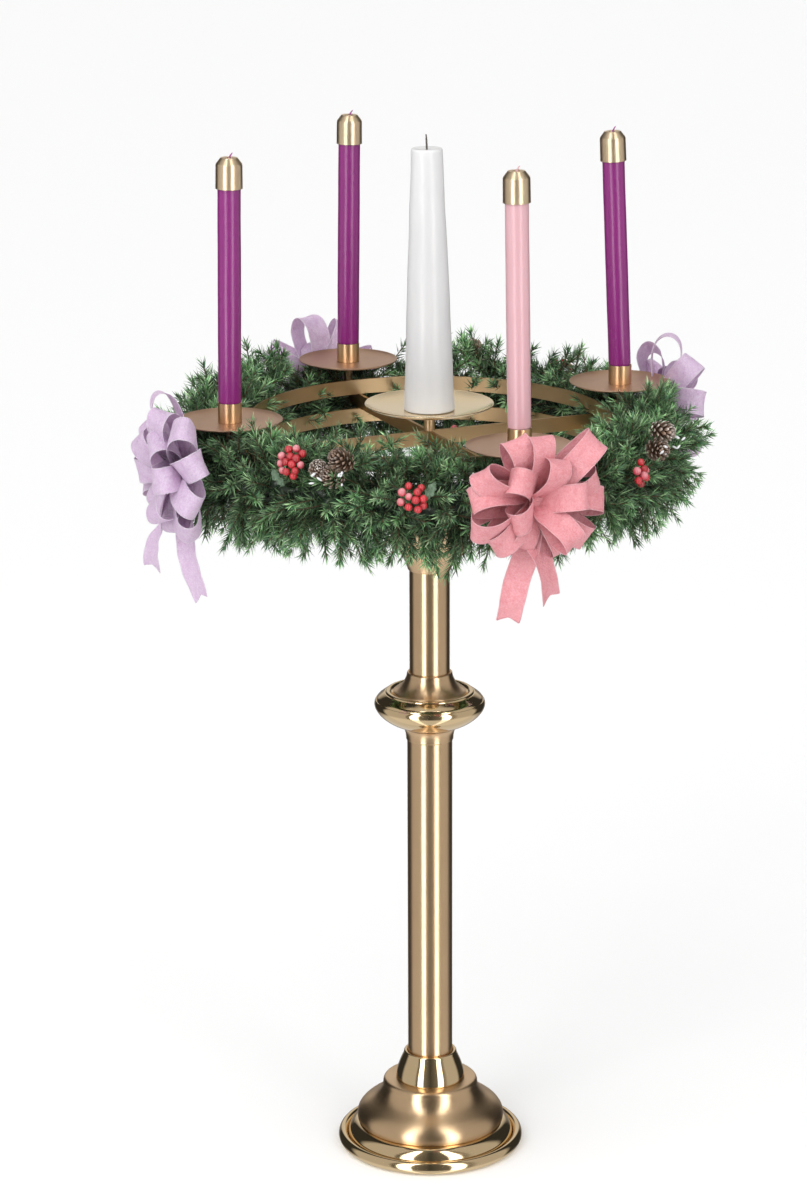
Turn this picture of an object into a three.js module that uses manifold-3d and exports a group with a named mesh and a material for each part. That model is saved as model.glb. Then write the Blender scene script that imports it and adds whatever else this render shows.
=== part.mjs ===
// Floor-standing advent candelabrum: turned brass column on a stepped round foot,
// an open ring frame with a cross of flat bars, four rim candles with drip pans and
// sockets, a tapered centre candle on a dish, a greenery ring and ribbon bows.
// Units are millimetres, +Z is up, the origin is the centre of the foot pad's underside.
import * as THREE from 'three';
import { mergeVertices } from 'three/addons/utils/BufferGeometryUtils.js';
import Module from 'manifold-3d';

// ---------------------------------------------------------------- driving dimensions
const GAP = 0.3;              // clearance kept between touching pieces
const SEG_COLUMN = 24;        // facets round the column pieces
const SEG_SMALL = 16;         // facets round sockets, candles and followers
const SEG_PAN = 20;           // facets round the drip pans
const SEG_RING = 48;          // facets round the frame rings
const SEG_WREATH = 32;        // facets round the greenery ring

const LOWER_TUBE_R = 36.6;    // 2 7/8 in tube
const UPPER_TUBE_R = 32.5;
const TUBE_WALL = 3.0;
const LOWER_TUBE_Z = [114.1, 705.0];
const UPPER_TUBE_Z = [790.3, 990.0];
const ROD_R = 6;              // tie rod that clamps the column together
const ROD_HOLE_R = 8;

const RING_R = 286;           // mean radius of the flat-band rings
const BAND_T = 3.2;           // band thickness
const UPPER_RING_Z = [1218.3, 1243.0];
const LOWER_RING_Z = [1170.0, 1194.3];
const BAR_T = 4.8;            // cross bar thickness
const BAR_Z = [1194.6, 1218.0];
const CANDLE_CIRCLE_R = 336;  // candles stand on this radius
const BAR_REACH = CANDLE_CIRCLE_R + 9;
const POST_R = 7;
const PAN_R = 81.5;
const PAN_Z = 1262.3;         // underside of the drip pans
const SOCKET_R = 18.5;
const SOCKET_BORE_R = 17.0;
const SOCKET_TOP_Z = 1295.0;
const CANDLE_R = 19.05;       // 1 1/2 in candle
const CANDLE_TOP_Z = 1655.0;
const FOLLOWER_Z = [1627.0, 1674.0];
const SPINDLE_R = 12;
const DISH_R = 102;

const WREATH_C = [352, 1188]; // centre of the greenery ring's section: radius, height
const WREATH_A = 63;          // radial half width
const WREATH_B = 67;          // vertical half height
const WREATH_WALL = 22;

// ---------------------------------------------------------------- materials
const polished = () => new THREE.MeshStandardMaterial({ color: 0xc79a5a, roughness: 0.12, metalness: 1 });
const satin = () => new THREE.MeshStandardMaterial({ color: 0xb8935f, roughness: 0.38, metalness: 1 });
const matteGold = () => new THREE.MeshStandardMaterial({ color: 0x9a7440, roughness: 0.6, metalness: 0.7 });
const panBrass = () => new THREE.MeshStandardMaterial({ color: 0xb08d6c, roughness: 0.62, metalness: 0.7 });
const iron = () => new THREE.MeshStandardMaterial({ color: 0x3a3a3c, roughness: 0.8, metalness: 0.6 });
const steel = () => new THREE.MeshStandardMaterial({ color: 0x8f9296, roughness: 0.4, metalness: 1 });
const rubber = () => new THREE.MeshStandardMaterial({ color: 0x222222, roughness: 0.9, metalness: 0 });
const nylon = () => new THREE.MeshStandardMaterial({ color: 0xe8e4da, roughness: 0.5, metalness: 0 });
const waxPurple = () => new THREE.MeshStandardMaterial({ color: 0x7d1f78, roughness: 0.3, metalness: 0 });
const waxPink = () => new THREE.MeshStandardMaterial({ color: 0xf49cae, roughness: 0.35, metalness: 0 });
const waxWhite = () => new THREE.MeshStandardMaterial({ color: 0xe4e3e0, roughness: 0.5, metalness: 0 });
const green = () => new THREE.MeshStandardMaterial({ color: 0x2f5a36, roughness: 0.7, metalness: 0 });
const ribbonLilac = () => new THREE.MeshStandardMaterial({ color: 0xc3a2d6, roughness: 0.5, metalness: 0 });
const ribbonPink = () => new THREE.MeshStandardMaterial({ color: 0xf09aa0, roughness: 0.5, metalness: 0 });
const berryRed = () => new THREE.MeshStandardMaterial({ color: 0xc23a46, roughness: 0.4, metalness: 0 });
const coneBrown = () => new THREE.MeshStandardMaterial({ color: 0x4a342a, roughness: 0.8, metalness: 0 });

const group = new THREE.Group();

function put(name, geometry, material) {
  const mesh = new THREE.Mesh(geometry, material);
  mesh.name = name;
  group.add(mesh);
  return mesh;
}

// Solid of revolution about Z. The outline runs either from the axis to the axis or
// closes on itself; it is listed counter-clockwise in the (radius, height) half plane.
function turned(points, segments, closed = false) {
  const outline = points.map(([r, z]) => new THREE.Vector2(r, z));
  if (closed) outline.push(outline[0].clone());
  const g = new THREE.LatheGeometry(outline, segments);
  g.rotateX(Math.PI / 2);
  return g;
}

// ---------------------------------------------------------------- boolean helpers
const wasm = await Module();
wasm.setup();

function toSolid(geometry) {
  let g = geometry.clone();
  g.deleteAttribute('normal');
  g.deleteAttribute('uv');
  g = mergeVertices(g, 1e-4);
  return new wasm.Manifold(new wasm.Mesh({
    numProp: 3,
    vertProperties: new Float32Array(g.attributes.position.array),
    triVerts: new Uint32Array(g.index.array),
  }));
}

function fromSolid(solid) {
  const m = solid.getMesh();
  const g = new THREE.BufferGeometry();
  const n = m.numProp;
  const pos = new Float32Array((m.vertProperties.length / n) * 3);
  for (let i = 0; i < pos.length / 3; i++) {
    pos[3 * i] = m.vertProperties[n * i];
    pos[3 * i + 1] = m.vertProperties[n * i + 1];
    pos[3 * i + 2] = m.vertProperties[n * i + 2];
  }
  g.setAttribute('position', new THREE.BufferAttribute(pos, 3));
  g.setIndex(Array.from(m.triVerts));
  g.computeVertexNormals();
  return g;
}

function block(x0, x1, y0, y1, z0, z1) {
  const g = new THREE.BoxGeometry(x1 - x0, y1 - y0, z1 - z0);
  g.translate((x0 + x1) / 2, (y0 + y1) / 2, (z0 + z1) / 2);
  return g;
}

// ---------------------------------------------------------------- foot
put('foot_pad', turned([[0, 0], [134, 0], [134, 2], [0, 2]], SEG_COLUMN), rubber());

put('ballast_weight', turned([
  [ROD_HOLE_R, 14], [22, 14], [22, 2.3], [120.5, 2.3], [120.5, 27], [116, 33.1], [ROD_HOLE_R, 33.1],
], SEG_COLUMN, true), iron());

put('base_foot', turned([
  [126.5, 2.3], [136.5, 2.3], [137, 0.6], [142, 0.6], [148.5, 2.6], [152.3, 7], [153, 12], [151.6, 18],
  [147.5, 23], [143, 22.6], [139.4, 18.2], [137.4, 14], [136.6, 20], [132.6, 28.5], [126, 35.2],
  [117.5, 38.6], [ROD_HOLE_R, 38.6], [ROD_HOLE_R, 33.5], [116.2, 33.5], [121.2, 28], [123, 8],
], SEG_COLUMN, true), polished());

put('base_bell', turned([
  [112, 38.9], [118.5, 38.9], [121.2, 43], [121.6, 50], [119.6, 57.6], [111, 68.5], [100, 76], [90, 83.2],
  [83, 90.5], [79.2, 98], [78.2, 107], [76.4, 111.6], [72.5, 113.6], [ROD_HOLE_R, 113.8],
  [ROD_HOLE_R, 109], [70, 109], [74, 97], [82, 84], [104, 68], [114.5, 56], [116.5, 48],
], SEG_COLUMN, true), satin());

put('base_dome', turned([
  [37.0, 114.1], [57, 114.1], [56.2, 120], [54.6, 128.5], [51.6, 138.5], [47.8, 148.5], [44.2, 157],
  [43, 160.6], [41, 162.4], [38.6, 161.6], [37.0, 157],
], SEG_COLUMN, true), polished());

// ---------------------------------------------------------------- column
function tube(z0, z1, r) {
  return turned([[r - TUBE_WALL, z0], [r, z0], [r, z1], [r - TUBE_WALL, z1]], SEG_COLUMN, true);
}
put('lower_tube', tube(LOWER_TUBE_Z[0], LOWER_TUBE_Z[1], LOWER_TUBE_R), satin());

put('knop_lower_collar', turned([
  [ROD_HOLE_R, 690], [33.2, 690], [33.2, 705.3], [37.2, 705.3], [38.4, 707], [39.2, 712.5], [40.2, 719.5],
  [42.4, 724.5], [45.5, 727.6], [ROD_HOLE_R, 727.6],
], SEG_COLUMN, true), satin());

put('knop_body', turned([
  [ROD_HOLE_R, 727.9], [44.6, 727.9], [52, 731], [62, 735.8], [71.5, 741.6], [79, 748], [85, 755],
  [88.6, 761], [89.5, 766.6], [86.6, 772.4], [81.5, 778], [74.5, 784.6], [68.5, 788], [64.5, 787.4],
  [61, 783.8], [ROD_HOLE_R, 783.6],
], SEG_COLUMN, true), polished());

put('knop_flare', turned([
  [ROD_HOLE_R, 784.1], [59, 784.1], [59.2, 787.2], [52.5, 791.8], [46, 797], [41.2, 803], [38.2, 809.5],
  [36.3, 815], [35.4, 819.2], [32.9, 819.2], [32.9, 790], [ROD_HOLE_R, 790],
], SEG_COLUMN, true), satin());

put('upper_tube', tube(UPPER_TUBE_Z[0], UPPER_TUBE_Z[1], UPPER_TUBE_R), satin());

put('top_cone', turned([
  [ROD_HOLE_R, 975], [29.1, 975], [29.1, 990.3], [34.2, 990.3], [36.2, 996], [42.5, 1010], [50.3, 1025],
  [58.5, 1040.5], [67, 1055.5], [74, 1068], [76.5, 1075], [72, 1075], [63, 1057], [54, 1041], [44, 1023],
  [33, 1007], [ROD_HOLE_R, 1007],
], SEG_COLUMN, true), satin());

// clamping rod through the column, with its washer and nut inside the top cone
put('tie_rod', turned([[0, 4], [12, 4], [12, 13.6], [ROD_R, 13.6], [ROD_R, 1025], [0, 1025]], 16), steel());
put('tie_rod_washer', turned([[6.6, 1007.3], [20, 1007.3], [20, 1009.3], [6.6, 1009.3]], 20, true), steel());
{
  const hex = new THREE.Shape();
  for (let i = 0; i < 6; i++) {
    const a = (i * Math.PI) / 3;
    if (i === 0) hex.moveTo(11 * Math.cos(a), 11 * Math.sin(a));
    else hex.lineTo(11 * Math.cos(a), 11 * Math.sin(a));
  }
  hex.closePath();
  const bore = new THREE.Path();
  bore.absarc(0, 0, 6.6, 0, Math.PI * 2, true);
  hex.holes.push(bore);
  const nut = new THREE.ExtrudeGeometry(hex, { depth: 9.5, bevelEnabled: false, curveSegments: 10 });
  nut.translate(0, 0, 1009.6);
  put('tie_rod_nut', nut, steel());
}

// cover plate with the bearing sleeve that the head turns in, and its lined bush
put('bearing_cover', turned([
  [16.4, 1040], [22, 1040], [22, 1075.3], [76, 1075.3], [77, 1078.2], [75.5, 1081], [24, 1081],
  [22, 1084], [22, 1096], [16.4, 1096],
], SEG_COLUMN, true), satin());
put('pivot_bush', turned([
  [12.5, 1044], [16.0, 1044], [16.0, 1096.3], [20, 1096.3], [20, 1098.5], [12.5, 1098.5],
], 24, true), nylon());
put('thrust_washer', turned([[12.5, 1098.8], [19.5, 1098.8], [19.5, 1100.8], [12.5, 1100.8]], 24, true), nylon());

// ---------------------------------------------------------------- head frame
put('head_spindle', turned([
  [0, 1044.5], [10.5, 1044.5], [SPINDLE_R, 1047], [SPINDLE_R, 1101.1], [18, 1101.1], [18, 1108],
  [12.5, 1112], [9, 1118], [9, 1176], [15, 1184], [15, BAR_Z[0] - GAP], [0, BAR_Z[0] - GAP],
], 24), matteGold());

// two flat bars on edge, half-lapped where they cross
{
  const mid = (BAR_Z[0] + BAR_Z[1]) / 2;
  const slot = BAR_T / 2 + GAP;
  const a = toSolid(block(-BAR_REACH, BAR_REACH, -BAR_T / 2, BAR_T / 2, BAR_Z[0], BAR_Z[1]))
    .subtract(toSolid(block(-slot, slot, -10, 10, mid - GAP / 2, BAR_Z[1] + 5)));
  put('cross_bar_a', fromSolid(a), matteGold());
  const b = toSolid(block(-BAR_T / 2, BAR_T / 2, -BAR_REACH, BAR_REACH, BAR_Z[0], BAR_Z[1]))
    .subtract(toSolid(block(-10, 10, -slot, slot, BAR_Z[0] - 5, mid + GAP / 2)));
  put('cross_bar_b', fromSolid(b), matteGold());
}

function band(z0, z1) {
  return turned([
    [RING_R - BAND_T / 2, z0], [RING_R + BAND_T / 2, z0], [RING_R + BAND_T / 2, z1], [RING_R - BAND_T / 2, z1],
  ], SEG_RING, true);
}
put('upper_ring', band(UPPER_RING_Z[0], UPPER_RING_Z[1]), matteGold());
put('lower_ring', band(LOWER_RING_Z[0], LOWER_RING_Z[1]), matteGold());

// centre stem, dish and spike; every candle is cast round its wick, which stands out on top
put('centre_stem', turned([
  [0, 1218.3], [8.6, 1218.3], [8.6, 1244], [14, 1249.7], [0, 1249.7],
], SEG_SMALL), satin());
put('centre_dish', turned([
  [0, 1250], [58, 1250], [80, 1252.8], [95, 1257.6], [102, 1261.6], [101, 1262.8], [94, 1259.8],
  [79, 1255], [58, 1252], [0, 1252],
], SEG_COLUMN), satin());
put('dish_spike', turned([[0, 1252.3], [4, 1252.3], [3.4, 1262], [0, 1275]], 12), steel());
put('pillar_candle', turned([
  [0, 1282], [5, 1277], [5, 1252.5], [39, 1252.5], [40.2, 1256], [24.6, 1663], [23, 1666.5], [1.5, 1667],
  [1.5, 1689], [0, 1689],
], SEG_COLUMN), waxWhite());

// ---------------------------------------------------------------- four rim candles
const STATIONS = [
  { key: 'left', dir: [-1, 0], wax: waxPurple },
  { key: 'back', dir: [0, 1], wax: waxPurple },
  { key: 'right', dir: [1, 0], wax: waxPurple },
  { key: 'front', dir: [0, -1], wax: waxPink },
];
for (const s of STATIONS) {
  const x = s.dir[0] * CANDLE_CIRCLE_R;
  const y = s.dir[1] * CANDLE_CIRCLE_R;
  const at = (mesh) => mesh.position.set(x, y, 0);
  at(put(`post_${s.key}`, turned([
    [0, BAR_Z[1] + GAP], [POST_R, BAR_Z[1] + GAP], [POST_R, PAN_Z - GAP], [0, PAN_Z - GAP],
  ], 14), matteGold()));
  at(put(`drip_pan_${s.key}`, turned([
    [0, PAN_Z], [66, PAN_Z], [77, PAN_Z + 2.2], [PAN_R, PAN_Z + 5], [80.2, PAN_Z + 5.9],
    [76, PAN_Z + 3.8], [66, PAN_Z + 1.8], [0, PAN_Z + 1.8],
  ], SEG_PAN), panBrass()));
  at(put(`socket_${s.key}`, turned([
    [0, PAN_Z + 2.1], [SOCKET_R, PAN_Z + 2.1], [SOCKET_R, SOCKET_TOP_Z], [SOCKET_BORE_R, SOCKET_TOP_Z],
    [SOCKET_BORE_R, 1267.3], [0, 1267.3],
  ], SEG_SMALL), polished()));
  at(put(`candle_${s.key}`, turned([
    [0, 1267.7], [16.2, 1267.7], [16.5, 1295.3], [CANDLE_R, 1295.3], [CANDLE_R, CANDLE_TOP_Z],
    [18.2, 1661], [11.2, 1670], [1.3, 1670.3], [1.3, 1682], [0, 1682],
  ], SEG_SMALL), s.wax()));
  at(put(`follower_${s.key}`, turned([
    [19.6, FOLLOWER_Z[0]], [20.8, FOLLOWER_Z[0]], [20.3, 1663.6], [13, FOLLOWER_Z[1]], [5.2, FOLLOWER_Z[1]],
    [5.2, 1672.0], [11.8, 1671.6], [19.2, 1662.4],
  ], SEG_SMALL, true), satin()));
}

// ---------------------------------------------------------------- greenery ring
// An open C section that hugs the outside of the rings; the bar ends reach into it and
// the four posts come up through holes in its top.
{
  const n = 9;
  const outer = [];
  const inner = [];
  const a0 = (-142 * Math.PI) / 180;
  const a1 = (142 * Math.PI) / 180;
  for (let i = 0; i <= n; i++) {
    const t = a0 + ((a1 - a0) * i) / n;
    outer.push([WREATH_C[0] + WREATH_A * Math.cos(t), WREATH_C[1] + WREATH_B * Math.sin(t)]);
  }
  const m = 6;
  const b0 = (128 * Math.PI) / 180;
  for (let i = 0; i <= m; i++) {
    const t = b0 - (2 * b0 * i) / m;
    inner.push([
      WREATH_C[0] + (WREATH_A - WREATH_WALL) * Math.cos(t) - 3,
      WREATH_C[1] + (WREATH_B - WREATH_WALL) * Math.sin(t),
    ]);
  }
  let body = toSolid(turned([...outer, ...inner], SEG_WREATH, true));
  for (const s of STATIONS) {
    const hole = new THREE.CylinderGeometry(POST_R + 1.5, POST_R + 1.5, 80, 14);
    hole.rotateX(Math.PI / 2);
    hole.translate(s.dir[0] * CANDLE_CIRCLE_R, s.dir[1] * CANDLE_CIRCLE_R, 1258);
    body = body.subtract(toSolid(hole));
  }
  put('wreath_greenery', fromSolid(body), green());
}
// wire hoop that the greenery is wound on
{
  const ring = new THREE.TorusGeometry(354, 2.2, 5, 32);
  ring.translate(0, 0, 1172);
  put('wreath_hoop', ring, iron());
}

// ---------------------------------------------------------------- bows
// Each bow is a domed disc of ribbon loops with two tails hanging from it.
function bow() {
  const loops = turned([
    [0, 0], [58, 0], [82, 10], [90, 24], [82, 40], [56, 54], [24, 60], [0, 60],
  ], 16);
  // the disc's axis is turned outwards, along +X, then two tails are joined below it
  loops.rotateY(Math.PI / 2);
  let solid = toSolid(loops);
  for (const [y, tilt] of [[-32, -0.16], [30, 0.2]]) {
    const tail = new THREE.BoxGeometry(14, 36, 150);
    tail.translate(0, 0, -105);
    tail.rotateX(tilt);
    tail.translate(14, y * 0.5, 0);
    solid = solid.add(toSolid(tail));
  }
  return fromSolid(solid);
}
const BOW_Z = 1204;
const BOW_R = 416.5;
for (const s of STATIONS) {
  const mesh = put(`bow_${s.key}`, bow(), s.key === 'front' ? ribbonPink() : ribbonLilac());
  mesh.rotation.z = Math.atan2(s.dir[1], s.dir[0]);
  mesh.position.set(s.dir[0] * BOW_R, s.dir[1] * BOW_R, BOW_Z);
}

// ---------------------------------------------------------------- berries and cones
// azimuth is measured from +X towards +Y; rise is the angle up the greenery's section
function onGreenery(azimuth, rise, out) {
  const a = (azimuth * Math.PI) / 180;
  const t = (rise * Math.PI) / 180;
  const nr = Math.cos(t) / WREATH_A;
  const nz = Math.sin(t) / WREATH_B;
  const k = Math.hypot(nr, nz);
  const r = WREATH_C[0] + WREATH_A * Math.cos(t) + (out * nr) / k;
  const z = WREATH_C[1] + WREATH_B * Math.sin(t) + (out * nz) / k;
  return [r * Math.cos(a), r * Math.sin(a), z];
}
const TRIMS = [
  ['berries_1', 216.6, 48, 24, 21, berryRed],
  ['berries_2', 243, 20, 24, 21, berryRed],
  ['berries_3', 293.5, 22, 22, 18, berryRed],
  ['berries_4', 57, 210, 17, 13, berryRed],
  ['berries_5', 35, 30, 24, 21, berryRed],
  ['pinecones_1', 226.8, 46, 26, 23, coneBrown],
  ['pinecones_2', 304.4, 48, 26, 23, coneBrown],
  ['pinecones_3', 55, 42, 26, 23, coneBrown],
];
for (const [name, azimuth, rise, out, r, material] of TRIMS) {
  const p = onGreenery(azimuth, rise, out);
  const mesh = put(name, new THREE.SphereGeometry(r, 10, 7), material());
  mesh.position.set(p[0], p[1], p[2]);
}

export default group;
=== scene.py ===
import math

import bmesh
import bpy
import numpy as np
from mathutils import Matrix, Vector


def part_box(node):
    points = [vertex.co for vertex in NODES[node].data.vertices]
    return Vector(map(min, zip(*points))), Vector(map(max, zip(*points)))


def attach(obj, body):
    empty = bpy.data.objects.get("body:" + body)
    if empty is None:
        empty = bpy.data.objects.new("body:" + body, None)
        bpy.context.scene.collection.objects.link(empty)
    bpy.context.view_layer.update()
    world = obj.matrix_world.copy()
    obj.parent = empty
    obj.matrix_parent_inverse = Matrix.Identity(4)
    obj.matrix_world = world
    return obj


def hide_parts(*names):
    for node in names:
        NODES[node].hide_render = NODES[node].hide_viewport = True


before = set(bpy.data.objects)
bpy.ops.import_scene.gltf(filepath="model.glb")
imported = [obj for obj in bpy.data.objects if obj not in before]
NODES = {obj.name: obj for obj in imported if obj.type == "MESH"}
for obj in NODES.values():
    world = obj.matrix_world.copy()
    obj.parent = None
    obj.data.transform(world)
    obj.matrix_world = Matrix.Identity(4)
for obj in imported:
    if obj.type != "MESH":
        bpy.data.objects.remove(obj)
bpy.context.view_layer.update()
scene = bpy.context.scene
MM = 0.001
TAU = 2 * math.pi

# ------------------------------------------------------------------ camera
CAM_AZ = -23.65
CAM_D, CAM_H = 5.550, 2.529
cam_data = bpy.data.cameras.new("camera")
cam_data.lens = 107.94
cam_data.sensor_width = 36
cam = bpy.data.objects.new("camera", cam_data)
scene.collection.objects.link(cam)
a = math.radians(CAM_AZ)
cam.location = (math.sin(a) * CAM_D, -math.cos(a) * CAM_D, CAM_H)
turn = Matrix.Rotation(math.radians(CAM_AZ + 0.432), 3, "Z") @ Matrix.Rotation(math.radians(90 - 15.99), 3, "X")
cam.rotation_euler = (turn @ Matrix.Rotation(math.radians(-0.2), 3, "Z")).to_euler()
scene.camera = cam
scene.view_settings.view_transform = "Standard"
scene.view_settings.look = "None"

# ------------------------------------------------------------------ mesh helpers


def tri_mesh(name, verts, tris, mats=(), mat_index=None, colour=None, smooth=True):
    """A mesh object from numpy arrays: verts (n, 3) in metres, tris (m, 3)."""
    me = bpy.data.meshes.new(name)
    verts = np.ascontiguousarray(verts, np.float32)
    tris = np.ascontiguousarray(tris, np.int32)
    me.vertices.add(len(verts))
    me.vertices.foreach_set("co", verts.ravel())
    me.loops.add(tris.size)
    me.loops.foreach_set("vertex_index", tris.ravel())
    me.polygons.add(len(tris))
    me.polygons.foreach_set("loop_start", np.arange(0, tris.size, 3, dtype=np.int32))
    me.polygons.foreach_set("use_smooth", np.full(len(tris), smooth, bool))
    if mat_index is not None:
        me.polygons.foreach_set("material_index", np.asarray(mat_index, np.int32))
    if colour is not None:
        attribute = me.color_attributes.new("shade", "FLOAT_COLOR", "POINT")
        attribute.data.foreach_set("color", np.ascontiguousarray(colour, np.float32).ravel())
    me.update(calc_edges=True)
    me.validate()
    o = bpy.data.objects.new(name, me)
    scene.collection.objects.link(o)
    for m in mats:
        me.materials.append(m)
    return o


def curve_through(points, step):
    """A smooth polyline through the points (Catmull-Rom, centripetal), about step apart."""
    p = np.array(points, float)
    if len(p) < 3:
        n = max(1, int(np.linalg.norm(p[1] - p[0]) / (step * 6)))
        t = np.linspace(0, 1, n + 1)[:, None]
        return p[0] + (p[1] - p[0]) * t
    ext = np.vstack([2 * p[0] - p[1], p, 2 * p[-1] - p[-2]])
    out = []
    for i in range(1, len(ext) - 2):
        p0, p1, p2, p3 = ext[i - 1], ext[i], ext[i + 1], ext[i + 2]
        t0 = 0.0
        t1 = t0 + max(np.linalg.norm(p1 - p0), 1e-9) ** 0.5
        t2 = t1 + max(np.linalg.norm(p2 - p1), 1e-9) ** 0.5
        t3 = t2 + max(np.linalg.norm(p3 - p2), 1e-9) ** 0.5
        n = max(2, int(math.ceil(np.linalg.norm(p2 - p1) / step)))
        for t in np.linspace(t1, t2, n, endpoint=False):
            a1 = (t1 - t) / (t1 - t0) * p0 + (t - t0) / (t1 - t0) * p1
            a2 = (t2 - t) / (t2 - t1) * p1 + (t - t1) / (t2 - t1) * p2
            a3 = (t3 - t) / (t3 - t2) * p2 + (t - t2) / (t3 - t2) * p3
            b1 = (t2 - t) / (t2 - t0) * a1 + (t - t0) / (t2 - t0) * a2
            b2 = (t3 - t) / (t3 - t1) * a2 + (t - t1) / (t3 - t1) * a3
            out.append((t2 - t) / (t2 - t1) * b1 + (t - t1) / (t2 - t1) * b2)
    out.append(p[-1])
    return np.array(out)


RIGHT = Vector((math.cos(math.radians(-23.65)), math.sin(math.radians(-23.65)), 0))


def leaned(o, centre, lean):
    """Lean a piece by a small angle in degrees, towards RIGHT, about the mouth of its socket."""
    if lean:
        p = Vector((centre[0] * MM, centre[1] * MM, 1.280))
        axis = Vector((0, 0, 1)).cross(RIGHT)
        o.matrix_world = Matrix.Translation(p) @ Matrix.Rotation(math.radians(lean), 4, axis) @ Matrix.Translation(-p) @ Matrix.Translation(o.location)


def lathe(name, segments, mat, centre=(0, 0), n=144, step=1.6, body="stand", closed=True, angle=32, lean=0.0, wobble=0.0):
    """A turned piece. segments is a list of outlines in mm, each smooth, meeting at sharp corners.
    With closed the outline comes back to its start; otherwise it runs from the axis to the axis."""
    outline = []
    for s in segments:
        c = curve_through(s, step)
        if outline and np.linalg.norm(np.array(outline[-1]) - c[0]) < 1e-6:
            c = c[1:]
        outline += [tuple(q) for q in c]
    if closed and np.linalg.norm(np.array(outline[0]) - np.array(outline[-1])) < 1e-6:
        outline.pop()
    outline = np.array(outline)
    m = len(outline)
    th = np.arange(n) * TAU / n
    verts, index = [], []
    for r, z in outline:
        if r < 1e-6:
            index.append([len(verts)] * n)
            verts.append((0, 0, z * MM))
        else:
            index.append(list(range(len(verts), len(verts) + n)))
            verts += list(zip(r * MM * np.cos(th), r * MM * np.sin(th), [z * MM] * n))
    faces = []
    for i in range(m if closed else m - 1):
        A, B = index[i], index[(i + 1) % m]
        for k in range(n):
            k2 = (k + 1) % n
            f = [A[k], A[k2], B[k2], B[k]]
            g = []
            for v in f:
                if v not in g:
                    g.append(v)
            if len(g) > 2:
                faces.append(g)
    me = bpy.data.meshes.new(name)
    me.from_pydata(verts, [], faces)
    me.update()
    bm = bmesh.new()
    bm.from_mesh(me)
    bmesh.ops.recalc_face_normals(bm, faces=bm.faces)
    bm.to_mesh(me)
    bm.free()
    for p in me.polygons:
        p.use_smooth = True
    me.set_sharp_from_angle(angle=math.radians(angle))
    o = bpy.data.objects.new(name, me)
    scene.collection.objects.link(o)
    o.location = (centre[0] * MM, centre[1] * MM, 0)
    me.materials.append(mat)
    if wobble:
        # cast wax is never quite true: a few tenths of a millimetre of swell, slow along the height
        for v in me.vertices:
            ang = math.atan2(v.co.y, v.co.x)
            k = wobble * MM * (math.sin(2 * ang + v.co.z * 23) + 0.7 * math.sin(3 * ang - v.co.z * 41 + 1) + 0.8 * math.sin(v.co.z * 67 + ang))
            r = math.hypot(v.co.x, v.co.y)
            if r > 0.012:
                v.co.x *= 1 + k / r
                v.co.y *= 1 + k / r
    leaned(o, centre, lean)
    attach(o, body)
    return o


# ------------------------------------------------------------------ materials


def material(name):
    m = bpy.data.materials.new(name)
    m.use_nodes = True
    nt = m.node_tree
    return m, nt, nt.nodes["Principled BSDF"]


def node(nt, kind, **values):
    n = nt.nodes.new(kind)
    for k, v in values.items():
        setattr(n, k, v)
    return n


def math_node(nt, op, x, y=None, z=None):
    n = node(nt, "ShaderNodeMath", operation=op)
    for i, v in enumerate((x, y, z)):
        if v is None:
            continue
        if isinstance(v, (int, float)):
            n.inputs[i].default_value = v
        else:
            nt.links.new(v, n.inputs[i])
    return n.outputs[0]


def mix_colour(nt, fac, c1, c2, blend="MIX"):
    n = node(nt, "ShaderNodeMix", data_type="RGBA", blend_type=blend)
    for i, v in ((0, fac), (6, c1), (7, c2)):
        if isinstance(v, (int, float)):
            n.inputs[i].default_value = v
        elif isinstance(v, (tuple, list)):
            n.inputs[i].default_value = (*v[:3], 1)
        else:
            nt.links.new(v, n.inputs[i])
    return n.outputs[2]


def noise(nt, vector, scale, detail=3.0, rough=0.5):
    n = node(nt, "ShaderNodeTexNoise")
    n.inputs["Scale"].default_value = scale
    n.inputs["Detail"].default_value = detail
    n.inputs["Roughness"].default_value = rough
    if vector is not None:
        nt.links.new(vector, n.inputs["Vector"])
    return n.outputs["Fac"]


def ramp(nt, fac, stops):
    n = node(nt, "ShaderNodeValToRGB")
    r = n.color_ramp
    while len(r.elements) < len(stops):
        r.elements.new(0.5)
    for e, (p, c) in zip(r.elements, stops):
        e.position = p
        e.color = (*c, 1) if len(c) == 3 else c
    nt.links.new(fac, n.inputs["Fac"])
    return n.outputs["Color"]


def map_range(nt, v, a0, a1, b0, b1):
    n = node(nt, "ShaderNodeMapRange")
    nt.links.new(v, n.inputs["Value"])
    for k, x in (("From Min", a0), ("From Max", a1), ("To Min", b0), ("To Max", b1)):
        n.inputs[k].default_value = x
    return n.outputs["Result"]


def turned_coords(nt):
    """(radius, height, weak angle) of a point on a turned piece, so that tool marks run round it."""
    tc = node(nt, "ShaderNodeTexCoord")
    sep = node(nt, "ShaderNodeSeparateXYZ")
    nt.links.new(tc.outputs["Object"], sep.inputs[0])
    x, y, z = sep.outputs
    r = math_node(nt, "SQRT", math_node(nt, "ADD", math_node(nt, "MULTIPLY", x, x), math_node(nt, "MULTIPLY", y, y)))
    return tc.outputs["Object"], x, y, z, r


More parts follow.
